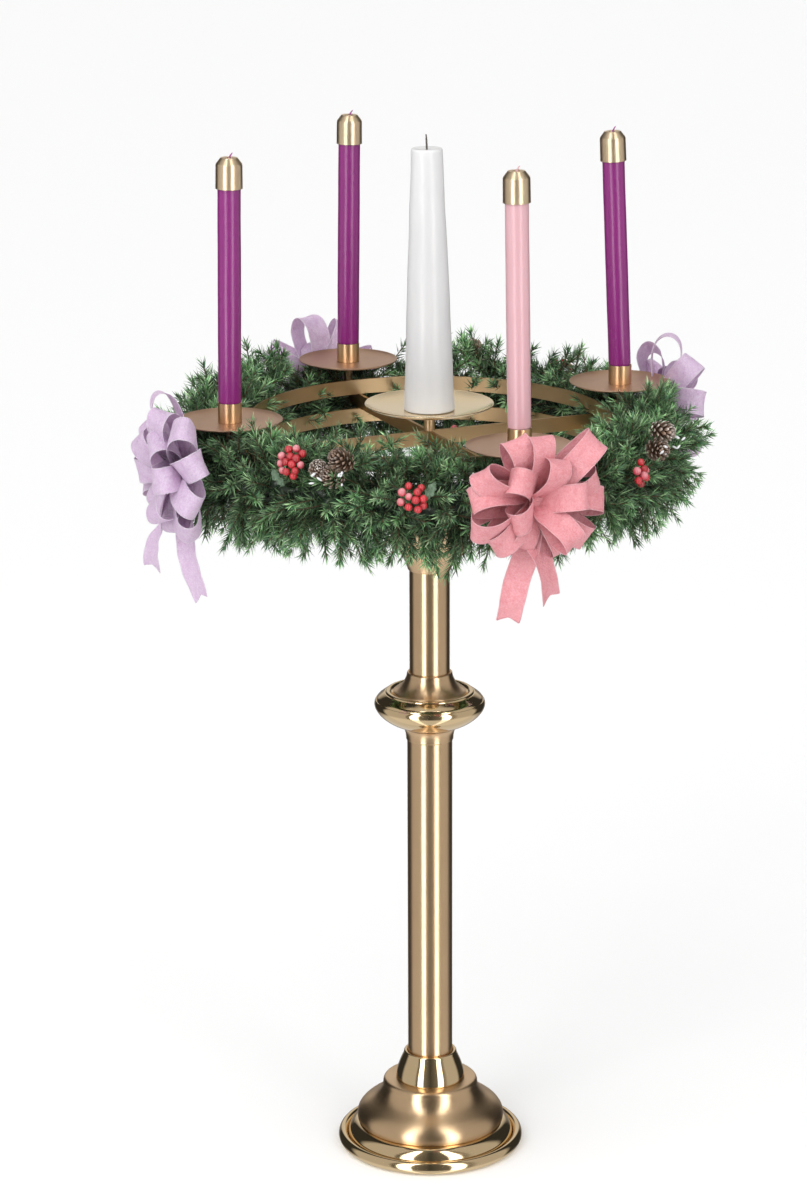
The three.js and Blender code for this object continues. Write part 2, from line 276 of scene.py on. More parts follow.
def brass(name, base, rough, spread=0.06, aniso=0.0, lines=0.0, turned=True, metal=1.0, blotch=0.05, grain=0.0,
          dull=(0.36, 0.22, 0.10), fineness=5200.0):
    m, nt, b = material(name)
    obj, x, y, z, r = turned_coords(nt)
    b.inputs["Metallic"].default_value = metal
    comb = node(nt, "ShaderNodeCombineXYZ")
    if turned:
        # fine rings: the pattern varies with radius and height, and only slowly round the piece
        nt.links.new(math_node(nt, "MULTIPLY", r, fineness), comb.inputs[0])
        nt.links.new(math_node(nt, "MULTIPLY", z, 5200.0), comb.inputs[1])
        nt.links.new(math_node(nt, "MULTIPLY", math_node(nt, "ADD", x, y), 60.0), comb.inputs[2])
    else:
        # grain along the piece: stretched lengthwise, fine across its height
        nt.links.new(math_node(nt, "MULTIPLY", x, 90.0), comb.inputs[0])
        nt.links.new(math_node(nt, "MULTIPLY", y, 90.0), comb.inputs[1])
        nt.links.new(math_node(nt, "MULTIPLY", z, 3200.0), comb.inputs[2])
    fine = noise(nt, comb.outputs[0], 1.0, 3.0, 0.6)
    cloud = noise(nt, obj, 9.0, 4.0, 0.55)
    speck = noise(nt, obj, 260.0, 2.0, 0.5)
    tone = mix_colour(nt, map_range(nt, cloud, 0.38, 0.72, 0.0, blotch * 3), base, dull)
    tone = mix_colour(nt, map_range(nt, fine, 0.35, 0.75, 0.0, 0.03 + lines * 1.2), tone, tuple(c * 0.72 for c in base))
    nt.links.new(tone, b.inputs["Base Color"])
    rr = math_node(nt, "ADD", map_range(nt, cloud, 0.3, 0.7, rough - spread, rough + spread),
                   map_range(nt, speck, 0.55, 0.8, 0.0, spread))
    nt.links.new(rr, b.inputs["Roughness"])
    if aniso:
        b.inputs["Anisotropic"].default_value = aniso
        b.inputs["Anisotropic Rotation"].default_value = 0.25
        t = node(nt, "ShaderNodeTangent", direction_type="RADIAL", axis="Z")
        nt.links.new(t.outputs[0], b.inputs["Tangent"])
    if lines or grain:
        bump = node(nt, "ShaderNodeBump")
        bump.inputs["Strength"].default_value = max(lines, grain)
        bump.inputs["Distance"].default_value = 0.0003
        h = fine
        if grain:
            h = math_node(nt, "ADD", math_node(nt, "MULTIPLY", fine, 0.4), noise(nt, obj, 1400.0, 2.0, 0.6))
        nt.links.new(h, bump.inputs["Height"])
        nt.links.new(bump.outputs[0], b.inputs["Normal"])
    return m


def wax(name, base, deep, rough=0.28, sss=0.12, radius=(1.0, 0.5, 0.5), coat=0.25, scale=0.006, mottle=0.5, coat_rough=0.12):
    m, nt, b = material(name)
    obj, x, y, z, r = turned_coords(nt)
    streak = node(nt, "ShaderNodeMapping")
    streak.inputs["Scale"].default_value = (1.0, 1.0, 0.16)
    nt.links.new(obj, streak.inputs["Vector"])
    soft = noise(nt, streak.outputs[0], 55.0, 4.0, 0.55)
    fine = noise(nt, obj, 420.0, 3.0, 0.6)
    c = mix_colour(nt, map_range(nt, soft, 0.3, 0.75, 0.0, mottle), base, deep)
    nt.links.new(c, b.inputs["Base Color"])
    nt.links.new(map_range(nt, soft, 0.3, 0.7, rough - 0.05, rough + 0.08), b.inputs["Roughness"])
    b.inputs["Subsurface Weight"].default_value = sss
    b.inputs["Subsurface Radius"].default_value = radius
    b.inputs["Subsurface Scale"].default_value = scale
    b.inputs["Coat Weight"].default_value = coat
    b.inputs["Coat Roughness"].default_value = coat_rough
    b.inputs["IOR"].default_value = 1.44
    bump = node(nt, "ShaderNodeBump")
    bump.inputs["Strength"].default_value = 0.10
    bump.inputs["Distance"].default_value = 0.0006
    nt.links.new(math_node(nt, "ADD", soft, math_node(nt, "MULTIPLY", fine, 0.25)), bump.inputs["Height"])
    nt.links.new(bump.outputs[0], b.inputs["Normal"])
    return m


def ribbon(name, base, light, deep, through):
    """Woven taffeta ribbon with a wired edge. UV: u runs along the ribbon in metres, v across it from 0 to 1."""
    m, nt, b = material(name)
    tc = node(nt, "ShaderNodeTexCoord")
    sep = node(nt, "ShaderNodeSeparateXYZ")
    nt.links.new(tc.outputs["UV"], sep.inputs[0])
    u, v = sep.outputs[0], sep.outputs[1]
    comb = node(nt, "ShaderNodeCombineXYZ")
    nt.links.new(math_node(nt, "MULTIPLY", u, 900.0), comb.inputs[0])
    nt.links.new(math_node(nt, "MULTIPLY", v, 12.0), comb.inputs[1])
    slub = noise(nt, comb.outputs[0], 1.0, 3.0, 0.6)     # weft threads that run across the ribbon
    crease = noise(nt, tc.outputs["Object"], 95.0, 4.0, 0.6)
    comb2 = node(nt, "ShaderNodeCombineXYZ")
    nt.links.new(math_node(nt, "MULTIPLY", u, 1500.0), comb2.inputs[0])
    nt.links.new(math_node(nt, "MULTIPLY", v, 62.0), comb2.inputs[1])
    weave = node(nt, "ShaderNodeTexVoronoi", feature="F1", distance="CHEBYCHEV")
    weave.inputs["Scale"].default_value = 1.0
    nt.links.new(comb2.outputs[0], weave.inputs["Vector"])
    watered = noise(nt, tc.outputs["Object"], 330.0, 4.0, 0.7)
    c = mix_colour(nt, map_range(nt, slub, 0.35, 0.7, 0.0, 0.40), base, light)
    c = mix_colour(nt, map_range(nt, watered, 0.40, 0.72, 0.0, 0.42), c, light)
    # darker deep colour laid on the crease bumps: painted shade in the creases
    c = mix_colour(nt, map_range(nt, crease, 0.48, 0.80, 0.0, 0.42), c, deep)
    edge = math_node(nt, "ABSOLUTE", math_node(nt, "SUBTRACT", v, 0.5))
    rim = map_range(nt, edge, 0.455, 0.475, 0.0, 1.0)
    c = mix_colour(nt, math_node(nt, "MULTIPLY", rim, 0.5), c, light)
    nt.links.new(c, b.inputs["Base Color"])
    nt.links.new(map_range(nt, slub, 0.3, 0.7, 0.34, 0.50), b.inputs["Roughness"])
    b.inputs["Sheen Weight"].default_value = 0.55
    b.inputs["Sheen Roughness"].default_value = 0.30
    b.inputs["Sheen Tint"].default_value = (*light, 1)
    b.inputs["Specular IOR Level"].default_value = 0.75
    b.inputs["Subsurface Weight"].default_value = through
    b.inputs["Subsurface Radius"].default_value = (1.0, 0.7, 0.9)
    b.inputs["Subsurface Scale"].default_value = 0.006
    h = math_node(nt, "ADD", math_node(nt, "MULTIPLY", slub, 0.6), math_node(nt, "MULTIPLY", weave.outputs["Distance"], 0.25))
    h = math_node(nt, "ADD", h, math_node(nt, "MULTIPLY", rim, 2.0))
    h = math_node(nt, "ADD", h, math_node(nt, "MULTIPLY", crease, 5.0))
    h = math_node(nt, "ADD", h, math_node(nt, "MULTIPLY", watered, 1.6))
    bump = node(nt, "ShaderNodeBump")
    bump.inputs["Strength"].default_value = 0.8
    bump.inputs["Distance"].default_value = 0.0006
    nt.links.new(h, bump.inputs["Height"])
    nt.links.new(bump.outputs[0], b.inputs["Normal"])
    return m


def shaded(name, rough=0.5, spec=0.4, gloss_var=0.12, bump_scale=0.0, sheen=0.0, coat=0.0, sss=0.0):
    """Colour from the mesh's own shade attribute, broken up by noise."""
    m, nt, b = material(name)
    at = node(nt, "ShaderNodeVertexColor", layer_name="shade")
    tc = node(nt, "ShaderNodeTexCoord")
    n1 = noise(nt, tc.outputs["Object"], 240.0, 3.0, 0.6)
    c = mix_colour(nt, map_range(nt, n1, 0.3, 0.75, 0.0, 0.45), at.outputs["Color"], (0.02, 0.02, 0.015), "MIX")
    nt.links.new(c, b.inputs["Base Color"])
    nt.links.new(map_range(nt, n1, 0.3, 0.7, rough - gloss_var, rough + gloss_var), b.inputs["Roughness"])
    b.inputs["Specular IOR Level"].default_value = spec
    b.inputs["Sheen Weight"].default_value = sheen
    b.inputs["Coat Weight"].default_value = coat
    if bump_scale:
        bump = node(nt, "ShaderNodeBump")
        bump.inputs["Strength"].default_value = 0.5
        bump.inputs["Distance"].default_value = 0.0005
        nt.links.new(noise(nt, tc.outputs["Object"], bump_scale, 3.0, 0.6), bump.inputs["Height"])
        nt.links.new(bump.outputs[0], b.inputs["Normal"])
    return m


def plain(name, base, dark, rough, scale=120.0, metal=0.0, bump=0.3, spec=0.5):
    m, nt, b = material(name)
    tc = node(nt, "ShaderNodeTexCoord")
    n1 = noise(nt, tc.outputs["Object"], scale, 5.0, 0.6)
    nt.links.new(mix_colour(nt, map_range(nt, n1, 0.35, 0.7, 0.0, 1.0), base, dark), b.inputs["Base Color"])
    nt.links.new(map_range(nt, n1, 0.3, 0.7, rough - 0.1, rough + 0.1), b.inputs["Roughness"])
    b.inputs["Metallic"].default_value = metal
    b.inputs["Specular IOR Level"].default_value = spec
    bp = node(nt, "ShaderNodeBump")
    bp.inputs["Strength"].default_value = bump
    bp.inputs["Distance"].default_value = 0.0005
    nt.links.new(noise(nt, tc.outputs["Object"], scale * 6, 3.0, 0.6), bp.inputs["Height"])
    nt.links.new(bp.outputs[0], b.inputs["Normal"])
    return m


POLISHED = brass("polished_brass", (0.84, 0.65, 0.40), 0.085, spread=0.03, lines=0.015, blotch=0.03)
SATIN = brass("satin_brass", (0.80, 0.572, 0.355), 0.31, spread=0.04, aniso=0.82, lines=0.10, blotch=0.05)
SATIN_PLAIN = brass("satin_brass_fine", (0.92, 0.74, 0.52), 0.42, spread=0.04, aniso=0.75, lines=0.06, blotch=0.03)
SOCKET = brass("socket_brass", (0.92, 0.66, 0.40), 0.38, spread=0.04, aniso=0.85, lines=0.06, blotch=0.04)
PAN = brass("pan_brass", (0.67, 0.445, 0.32), 0.46, spread=0.05, aniso=0.3, lines=0.10, blotch=0.08)
GOLD = brass("frame_gold", (0.55, 0.39, 0.225), 0.42, spread=0.06, lines=0.06, blotch=0.10, grain=0.05)
GOLD_BAR = brass("frame_gold_bar", (0.52, 0.35, 0.19), 0.42, spread=0.06, lines=0.06, turned=False, blotch=0.10, grain=0.05)
DISH = brass("dish_brass", (0.96, 0.79, 0.53), 0.21, spread=0.02, aniso=0.3, lines=0.0, blotch=0.02, fineness=500.0)
STEEL = plain("bright_steel", (0.52, 0.53, 0.55), (0.38, 0.39, 0.41), 0.35, 90.0, 1.0, 0.1)
IRON = plain("ballast_iron", (0.07, 0.07, 0.075), (0.03, 0.03, 0.03), 0.75, 60.0, 0.5, 0.6)
RUBBER = plain("foot_rubber", (0.035, 0.035, 0.035), (0.02, 0.02, 0.02), 0.85, 160.0, 0.0, 0.5)
NYLON = plain("nylon", (0.80, 0.78, 0.72), (0.72, 0.69, 0.62), 0.5, 80.0, 0.0, 0.1)
WIRE = plain("hoop_wire", (0.03, 0.08, 0.035), (0.02, 0.05, 0.025), 0.5, 120.0, 0.2, 0.2)
PURPLE = wax("purple_wax", (0.225, 0.010, 0.165), (0.155, 0.006, 0.115), rough=0.26, sss=0.08, radius=(0.8, 0.15, 0.6), coat=0.8, coat_rough=0.34)
PINK = wax("pink_wax", (0.625, 0.375, 0.41), (0.585, 0.31, 0.35), rough=0.30, sss=0.25, radius=(1.0, 0.5, 0.5), scale=0.008, coat=0.8, coat_rough=0.30)
WHITE = wax("white_wax", (0.69, 0.69, 0.692), (0.635, 0.635, 0.642), rough=0.40, sss=0.30, radius=(1.0, 0.95, 0.9), coat=0.45, coat_rough=0.25, scale=0.012, mottle=0.8)
PURPLE_WICK = plain("purple_wick", (0.28, 0.03, 0.22), (0.40, 0.10, 0.33), 0.6, 300.0, 0.0, 0.6)
PINK_WICK = plain("pink_wick", (0.62, 0.30, 0.36), (0.70, 0.45, 0.50), 0.6, 300.0, 0.0, 0.6)
WICK = plain("wick_cotton", (0.05, 0.045, 0.04), (0.16, 0.14, 0.12), 0.9, 300.0, 0.0, 0.6)
LILAC = ribbon("lilac_ribbon", (0.52, 0.32, 0.53), (0.80, 0.71, 0.82), (0.44, 0.21, 0.44), 0.42)
SALMON = ribbon("pink_ribbon", (0.645, 0.195, 0.222), (0.80, 0.475, 0.505), (0.54, 0.085, 0.10), 0.12)
NEEDLE = shaded("greenery", rough=0.40, spec=0.6, gloss_var=0.10, sheen=0.0)
TWIG = plain("greenery_twig", (0.13, 0.085, 0.045), (0.05, 0.05, 0.02), 0.75, 300.0, 0.0, 0.5)
BERRY = shaded("berry_red", rough=0.30, spec=0.5, gloss_var=0.12, coat=0.25)
CONE = shaded("cone_brown", rough=0.7, spec=0.25, bump_scale=500.0)
FROST = plain("frosting", (0.86, 0.87, 0.88), (0.62, 0.64, 0.66), 0.8, 400.0, 0.0, 0.8)

o = lathe("foot_visual", [
    [(126.5, 2.3), (136.5, 2.3)], [(136.5, 2.3), (137, 0.6)], [(137, 0.6), (142, 0.6)],
    [(142, 0.6), (146, 1.4), (150, 4.0), (152.4, 8), (153, 12), (152.4, 16.4), (150.2, 20.4), (147, 22.6),
     (143.6, 22.4), (140.6, 20.2), (138.6, 17), (137.6, 14)],
    [(137.6, 14), (137.2, 17.5), (136, 22), (133.4, 27.6), (129.4, 32.4), (124.6, 36.2), (118.6, 38.5), (116, 38.6)],
    [(116, 38.6), (8, 38.6)], [(8, 38.6), (8, 33.5)], [(8, 33.5), (116.2, 33.5)],
    [(116.2, 33.5), (121.2, 28), (123, 8)], [(123, 8), (126.5, 2.3)],
], POLISHED, n=192, step=1.2)
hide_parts("base_foot")

o = lathe("bell_visual", [
    [(112, 38.9), (117.4, 38.9)],
    [(117.4, 38.9), (119.2, 39.4), (120.6, 41.2), (121.4, 44.5), (121.7, 49), (121.0, 54), (119.2, 58.6),
     (115.6, 63.8), (110, 69.2), (104, 73.6), (97, 78.2), (90.5, 83), (85.4, 88.2), (81.6, 94), (79.4, 99.5),
     (78.4, 104.5), (78.1, 107.6), (77.2, 110.6), (75.4, 112.6), (72.6, 113.6), (69, 113.8)],
    [(69, 113.8), (8, 113.8)], [(8, 113.8), (8, 109)], [(8, 109), (70, 109)],
    [(70, 109), (74, 97), (82, 84), (104, 68), (114.5, 56), (116.5, 48), (112, 38.9)],
], SATIN, n=176, step=1.4)
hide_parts("base_bell")

o = lathe("dome_visual", [
    [(37.0, 114.1), (56.6, 114.1)],
    [(56.6, 114.1), (57.1, 115.4), (56.7, 118.6), (55.9, 123.4), (54.5, 129.4), (52.4, 136.2), (49.9, 143),
     (47.1, 149.4), (44.9, 154.6), (43.7, 157.8)],
    [(43.7, 157.8), (43.6, 160.0), (42.4, 161.9), (40.6, 162.5), (38.8, 162.0), (37.6, 160.4), (37.0, 158)],
    [(37.0, 158), (37.0, 114.1)],
], POLISHED, n=144, step=1.2)
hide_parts("base_dome")

o = lathe("lower_tube_visual", [
    [(33.6, 114.1), (36.6, 114.1)], [(36.6, 114.1), (36.6, 704.9)], [(36.6, 704.9), (33.6, 704.9)], [(33.6, 704.9), (33.6, 114.1)],
], SATIN, n=128, step=8)
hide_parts("lower_tube")

o = lathe("knop_collar_visual", [
    [(8, 690), (33.2, 690)], [(33.2, 690), (33.2, 705.2)], [(33.2, 705.2), (37.0, 705.2)],
    [(37.0, 705.2), (38.0, 705.7), (38.5, 707.2), (38.5, 709.4), (38.9, 713), (39.6, 717.4), (41.0, 721.6), (43.1, 725),
     (45.4, 727.4)], [(45.4, 727.4), (8, 727.6)], [(8, 727.6), (8, 690)],
], SATIN, n=144, step=1.2)
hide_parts("knop_lower_collar")

o = lathe("knop_visual", [
    [(8, 727.9), (44.8, 727.9)],
    [(44.8, 727.9), (47.6, 728.8), (54, 731.6), (62, 735.3), (70, 740.0), (77, 745.2), (83, 751.2), (87, 757.0),
     (89.2, 762.4), (89.6, 766.6), (88.8, 770.2), (87.4, 772.6)],
    [(87.4, 772.6), (86.5, 772.7), (86.1, 773.4), (86.0, 774.4)],
    [(86.0, 774.4), (84.4, 776.6), (80.4, 779.9), (75.6, 783.3), (73.2, 784.8)],
    [(73.2, 784.8), (71.8, 784.9), (71.2, 785.8)],
    [(71.2, 785.8), (70.2, 787.4), (68.2, 788.2), (66.2, 788.1), (64.2, 787.0), (62.6, 785.0)],
    [(62.6, 785.0), (60.6, 783.8), (8, 783.6)], [(8, 783.6), (8, 727.9)],
], POLISHED, n=192, step=0.9, angle=26)
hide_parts("knop_body")

o = lathe("knop_flare_visual", [
    [(8, 784.1), (58.6, 784.1)],
    [(58.6, 784.1), (59.5, 785.2), (59.4, 786.6), (57.6, 788.2), (53.6, 790.6), (49, 794), (44.6, 798.6), (41.1, 803.8),
     (38.6, 809.2), (37.2, 813.4)],
    [(37.2, 813.4), (37.0, 815.2), (36.4, 817.8), (35.2, 819.2), (33.8, 819.3), (32.9, 818.4)],
    [(32.9, 818.4), (32.9, 790)], [(32.9, 790), (8, 790)], [(8, 790), (8, 784.1)],
], SATIN, n=144, step=1.1)
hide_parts("knop_flare")

o = lathe("upper_tube_visual", [
    [(29.5, 790.3), (32.5, 790.3)], [(32.5, 790.3), (32.5, 990)], [(32.5, 990), (29.5, 990)], [(29.5, 990), (29.5, 790.3)],
], SATIN, n=128, step=8)
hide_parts("upper_tube")

o = lathe("top_cone_visual", [
    [(8, 975), (29.1, 975)], [(29.1, 975), (29.1, 990.3)], [(29.1, 990.3), (33.8, 990.3)],
    [(33.8, 990.3), (34.8, 991.2), (36.2, 995.6), (42.5, 1010), (50.3, 1025), (58.5, 1040.5), (67, 1055.5), (73.6, 1067.6),
     (76.2, 1072.6)],
    [(76.2, 1072.6), (76.6, 1074), (75.6, 1075)], [(75.6, 1075), (72, 1075)],
    [(72, 1075), (63, 1057), (54, 1041), (44, 1023), (33, 1007)], [(33, 1007), (8, 1007)], [(8, 1007), (8, 975)],
], SATIN, n=144, step=1.6)
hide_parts("top_cone")

o = lathe("bearing_cover_visual", [
    [(16.4, 1040), (22, 1040)], [(22, 1040), (22, 1075.3)], [(22, 1075.3), (76, 1075.3)],
    [(76, 1075.3), (77, 1076.6), (77, 1079.2), (75.6, 1081)], [(75.6, 1081), (25, 1081)], [(25, 1081), (22.6, 1082), (22, 1084)],
    [(22, 1084), (22, 1095)], [(22, 1095), (21.2, 1096)], [(21.2, 1096), (16.4, 1096)], [(16.4, 1096), (16.4, 1040)],
], SATIN, n=96, step=2)
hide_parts("bearing_cover")

# ------------------------------------------------------------------ head frame
o = lathe("spindle_visual", [
    [(0, 1044.5), (10.5, 1044.5)], [(10.5, 1044.5), (12, 1047)], [(12, 1047), (12, 1101.1)], [(12, 1101.1), (17.4, 1101.1)],
    [(17.4, 1101.1), (18, 1101.8)], [(18, 1101.8), (18, 1107.2), (16.8, 1108.4)], [(16.8, 1108.4), (12.5, 1111), (9.8, 1115), (9, 1120)],
    [(9, 1120), (9, 1174)], [(9, 1174), (10.2, 1179), (13.4, 1183), (15, 1185)], [(15, 1185), (15, 1194.2)], [(15, 1194.2), (0, 1194.2)],
], GOLD, n=64, step=1.5, body="head", closed=False)
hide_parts("head_spindle")

for nm, (z0, z1) in (("upper_ring", (1218.3, 1243.0)), ("lower_ring", (1170.0, 1194.3))):
    e = 0.5
    r0, r1 = 284.4, 287.6
    o = lathe(nm + "_visual", [
        [(r0 + e, z0), (r1 - e, z0)], [(r1 - e, z0), (r1, z0 + e)], [(r1, z0 + e), (r1, z1 - e)], [(r1, z1 - e), (r1 - e, z1)],
        [(r1 - e, z1), (r0 + e, z1)], [(r0 + e, z1), (r0, z1 - e)], [(r0, z1 - e), (r0, z0 + e)], [(r0, z0 + e), (r0 + e, z0)],
    ], GOLD, n=288, step=4, body="head")
    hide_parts(nm)

o = lathe("centre_stem_visual", [
    [(0, 1218.3), (8.2, 1218.3)], [(8.2, 1218.3), (8.6, 1218.8)], [(8.6, 1218.8), (8.6, 1242)],
    [(8.6, 1242), (9.2, 1246), (11.2, 1248.6), (14, 1249.7)], [(14, 1249.7), (0, 1249.7)],
], SOCKET, n=64, step=1.2, body="head", closed=False)
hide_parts("centre_stem")

o = lathe("centre_dish_visual", [
    [(0, 1250), (56, 1250)], [(56, 1250), (68, 1251), (80, 1253), (90, 1255.7), (97, 1258.6), (100.6, 1260.4)],
    [(100.6, 1260.4), (102, 1261.2), (102.3, 1262.2), (101.4, 1262.9), (100, 1262.4)],
    [(100, 1262.4), (94.6, 1260.0), (88, 1257.4), (79, 1254.9), (68, 1253), (58, 1252.1), (50, 1252)], [(50, 1252), (0, 1252)],
], DISH, n=160, step=1.6, body="head", closed=False)
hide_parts("centre_dish")

# the centre candle, cast round its wick, with a rounded shoulder and a slight foot
o = lathe("pillar_visual", [
    [(0, 1282), (5, 1277)], [(5, 1277), (5, 1252.5)], [(5, 1252.5), (38.6, 1252.5)],
    [(38.6, 1252.5), (39.8, 1253.4), (40.1, 1256)], [(40.1, 1256), (36.6, 1350), (32.8, 1450), (28.9, 1550), (24.8, 1659)],
    [(24.8, 1659), (24.6, 1663.6), (23.9, 1665.8), (22.6, 1666.7)], [(22.6, 1666.7), (20.4, 1666.4), (12, 1665.2), (4, 1664.6), (0, 1664.4)],
], WHITE, n=128, step=3.0, body="pillar", closed=False, lean=-0.5, wobble=0.22)
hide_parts("pillar_candle")


def lengthen(o, dz):
    """Move everything above half way up the candles by dz mm: the candles aren't all cut to one length."""
    for v in o.data.vertices:
        if v.co.z > 1.48:
            v.co.z += dz * MM


def wick(name, x, y, z0, z1, r, lean, body, mat, tilt=0.0):
    """A braided wick: a thin twisted cord that leans a little."""
    n, m = 12, 14
    v, f = [], []
    for i in range(n):
        t = i / (n - 1)
        cx = x + lean[0] * t * t
        cy = y + lean[1] * t * t
        z = z0 + (z1 - z0) * t
        for k in range(m):
            ang = TAU * k / m
            rr = r * (1 - 0.35 * t ** 4) * (1 + 0.14 * math.sin(3 * ang + t * 26))
            v.append(((cx + rr * math.cos(ang)) * MM, (cy + rr * math.sin(ang)) * MM, z * MM))
    top, bot = len(v), len(v) + 1
    v += [((x + lean[0]) * MM, (y + lean[1]) * MM, (z1 + 0.3) * MM), (x * MM, y * MM, z0 * MM)]
    for i in range(n - 1):
        for k in range(m):
            p, q = i * m + k, i * m + (k + 1) % m
            f += [(p, q, q + m), (p, q + m, p + m)]
    for k in range(m):
        f += [((n - 1) * m + k, (n - 1) * m + (k + 1) % m, top), ((k + 1) % m, k, bot)]
    w = tri_mesh(name, v, f, [mat])
    leaned(w, (x, y), tilt)
    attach(w, body)
    return w


wick("pillar_wick_visual", 0, 0, 1663.5, 1688.0, 1.5, (-0.8, 0.3), "pillar", WICK, -0.5)

STATIONS = {"left": (-1, 0), "back": (0, 1), "right": (1, 0), "front": (0, -1)}
LEAN = {"left": 0.75, "back": 0.75, "right": -2.5, "front": -0.95}      # candles never stand quite plumb in their sockets
LONGER = {"left": 0.0, "back": 0.0, "right": -1.5, "front": 7.0}
RC = 336.0
for key, (dx, dy) in STATIONS.items():
    c = (dx * RC, dy * RC)
    o = lathe(f"post_{key}_visual", [
        [(0, 1218.3), (6.6, 1218.3)], [(6.6, 1218.3), (7, 1218.8)], [(7, 1218.8), (7, 1261.5)], [(7, 1261.5), (6.6, 1262)], [(6.6, 1262), (0, 1262)],
    ], GOLD, centre=c, n=40, step=4, body="head", closed=False)
    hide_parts(f"post_{key}")
    o = lathe(f"drip_pan_{key}_visual", [
        [(0, 1262.3), (60, 1262.3)], [(60, 1262.3), (68, 1262.8), (75, 1264.0), (80, 1266.2)],
        [(80, 1266.2), (81.4, 1267.0), (81.7, 1267.8), (81.0, 1268.4), (79.8, 1267.9)],
        [(79.8, 1267.9), (75.6, 1266.0), (71, 1264.9), (64, 1264.2), (58, 1264.1)], [(58, 1264.1), (20, 1264.1)], [(20, 1264.1), (0, 1264.1)],
    ], PAN, centre=c, n=144, step=1.5, body="head", closed=False)
    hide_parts(f"drip_pan_{key}")
    o = lathe(f"socket_{key}_visual", [
        [(0, 1264.4), (18.3, 1264.4)], [(18.3, 1264.4), (18.5, 1265)], [(18.5, 1265), (18.5, 1293.8)],
        [(18.5, 1293.8), (18.4, 1294.7), (17.8, 1295), (17.2, 1294.7), (17.0, 1294)], [(17.0, 1294), (17.0, 1267.3)], [(17.0, 1267.3), (0, 1267.3)],
    ], SOCKET, centre=c, n=80, step=2, body="head", closed=False)
    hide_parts(f"socket_{key}")
    wax_m = PINK if key == "front" else PURPLE
    sh = 1295.4 + 0.36 * abs(LEAN[key])          # the shoulder of a leaning candle stands clear of the socket's lip
    o = lathe(f"candle_{key}_visual", [
        [(0, 1268.2), (15.9, 1268.2)], [(15.9, 1268.2), (16.1, sh)], [(16.1, sh), (17.2, sh)],
        [(17.2, sh), (17.7, sh + 0.3), (17.9, sh + 1.2)], [(17.9, sh + 1.2), (17.9, 1350), (17.8, 1640)],
        [(17.8, 1640), (17.4, 1650), (16.0, 1660), (12.4, 1667.6), (8, 1669.8), (0, 1670.3)],
    ], wax_m, centre=c, n=80, step=3, body=f"candle_{key}_body", closed=False,
        lean=LEAN[key], wobble=0.08)
    lengthen(o, LONGER[key])
    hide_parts(f"candle_{key}")
    wick(f"wick_{key}_visual", c[0], c[1], 1669.2 + LONGER[key], 1681.2 + LONGER[key], 1.4, (RIGHT.x * 5.0, RIGHT.y * 5.0), f"candle_{key}_body",
         PINK_WICK if key == "front" else PURPLE_WICK, LEAN[key])
    o = lathe(f"follower_{key}_visual", [
        [(19.6, 1627), (20.7, 1627)], [(20.7, 1627), (20.85, 1628), (20.75, 1631)], [(20.75, 1631), (20.45, 1662.4)],
        [(20.45, 1662.4), (20.2, 1664.0), (19.4, 1665.6)], [(19.4, 1665.6), (13.6, 1673.2)], [(13.6, 1673.2), (13.0, 1673.9), (12.2, 1674.0)],
        [(12.2, 1674.0), (6.2, 1674.0)], [(6.2, 1674.0), (5.4, 1673.6), (5.2, 1672.4)], [(5.2, 1672.4), (11.8, 1671.6)],
        [(11.8, 1671.6), (19.2, 1662.4)], [(19.2, 1662.4), (19.6, 1627)],
    ], SATIN_PLAIN, centre=c, n=80, step=1.4, body=f"follower_{key}_body", lean=LEAN[key])
    lengthen(o, LONGER[key])
    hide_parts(f"follower_{key}")

# CAD nodes whose shape is right as it is
CARRIED = {
    "foot_pad": RUBBER, "ballast_weight": IRON, "tie_rod": STEEL, "tie_rod_washer": STEEL, "tie_rod_nut": STEEL,
    "pivot_bush": NYLON, "thrust_washer": NYLON, "cross_bar_a": GOLD_BAR, "cross_bar_b": GOLD_BAR, "dish_spike": STEEL,
    "wreath_hoop": WIRE,
}
for n, m in CARRIED.items():
    ob = NODES[n]
    ob.data.materials.clear()
    ob.data.materials.append(m)

# ------------------------------------------------------------------ greenery
rng = np.random.default_rng(20251)
WC_R, WC_Z = 352.0, 1188.0
BOW_CENTRE_R, BOW_Z = 430.0, 1204.0
PAN_CENTRES = np.array([(dx * RC, dy * RC) for dx, dy in STATIONS.values()])


def unit(v):
    return v / np.maximum(np.linalg.norm(v, axis=-1, keepdims=True), 1e-9)


def blocked(p):
    """True for points (mm) that would run into the metalwork, a candle or a bow."""
    R = np.hypot(p[:, 0], p[:, 1])
    z = p[:, 2]
    bad = (np.abs(R - 286.0) < 2.6) & (((z > 1217.5) & (z < 1243.8)) | ((z > 1169.2) & (z < 1195.0)))
    bad |= (R < 346) & ((np.abs(p[:, 0]) < 3.4) | (np.abs(p[:, 1]) < 3.4)) & (z > 1193.6) & (z < 1219.0)
    for cx, cy in PAN_CENTRES:
        d = np.hypot(p[:, 0] - cx, p[:, 1] - cy)
        bad |= (d < 83.5) & (z > 1260.5) & (z < 1270.5)
        bad |= (d < 23.0) & (z > 1262.0)
        bad |= (d < 8.6) & (z > 1216)
    for dx, dy in STATIONS.values():
        out = p[:, 0] * dx + p[:, 1] * dy
        side = np.hypot(p[:, 0] * dy - p[:, 1] * dx, z - BOW_Z)
        bad |= (out > 424) & (side < 86)
    bad |= (R < 225)
    return bad


def above_pan(p):
    """True where a tip would stand up round a pan and hide it."""
    bad = np.zeros(len(p), bool)
    for cx, cy in PAN_CENTRES:
        d = np.hypot(p[:, 0] - cx, p[:, 1] - cy)
        bad |= (d < 116.0) & (p[:, 2] > 1258.0 + 0.25 * np.maximum(d - 86.0, 0))
    return bad


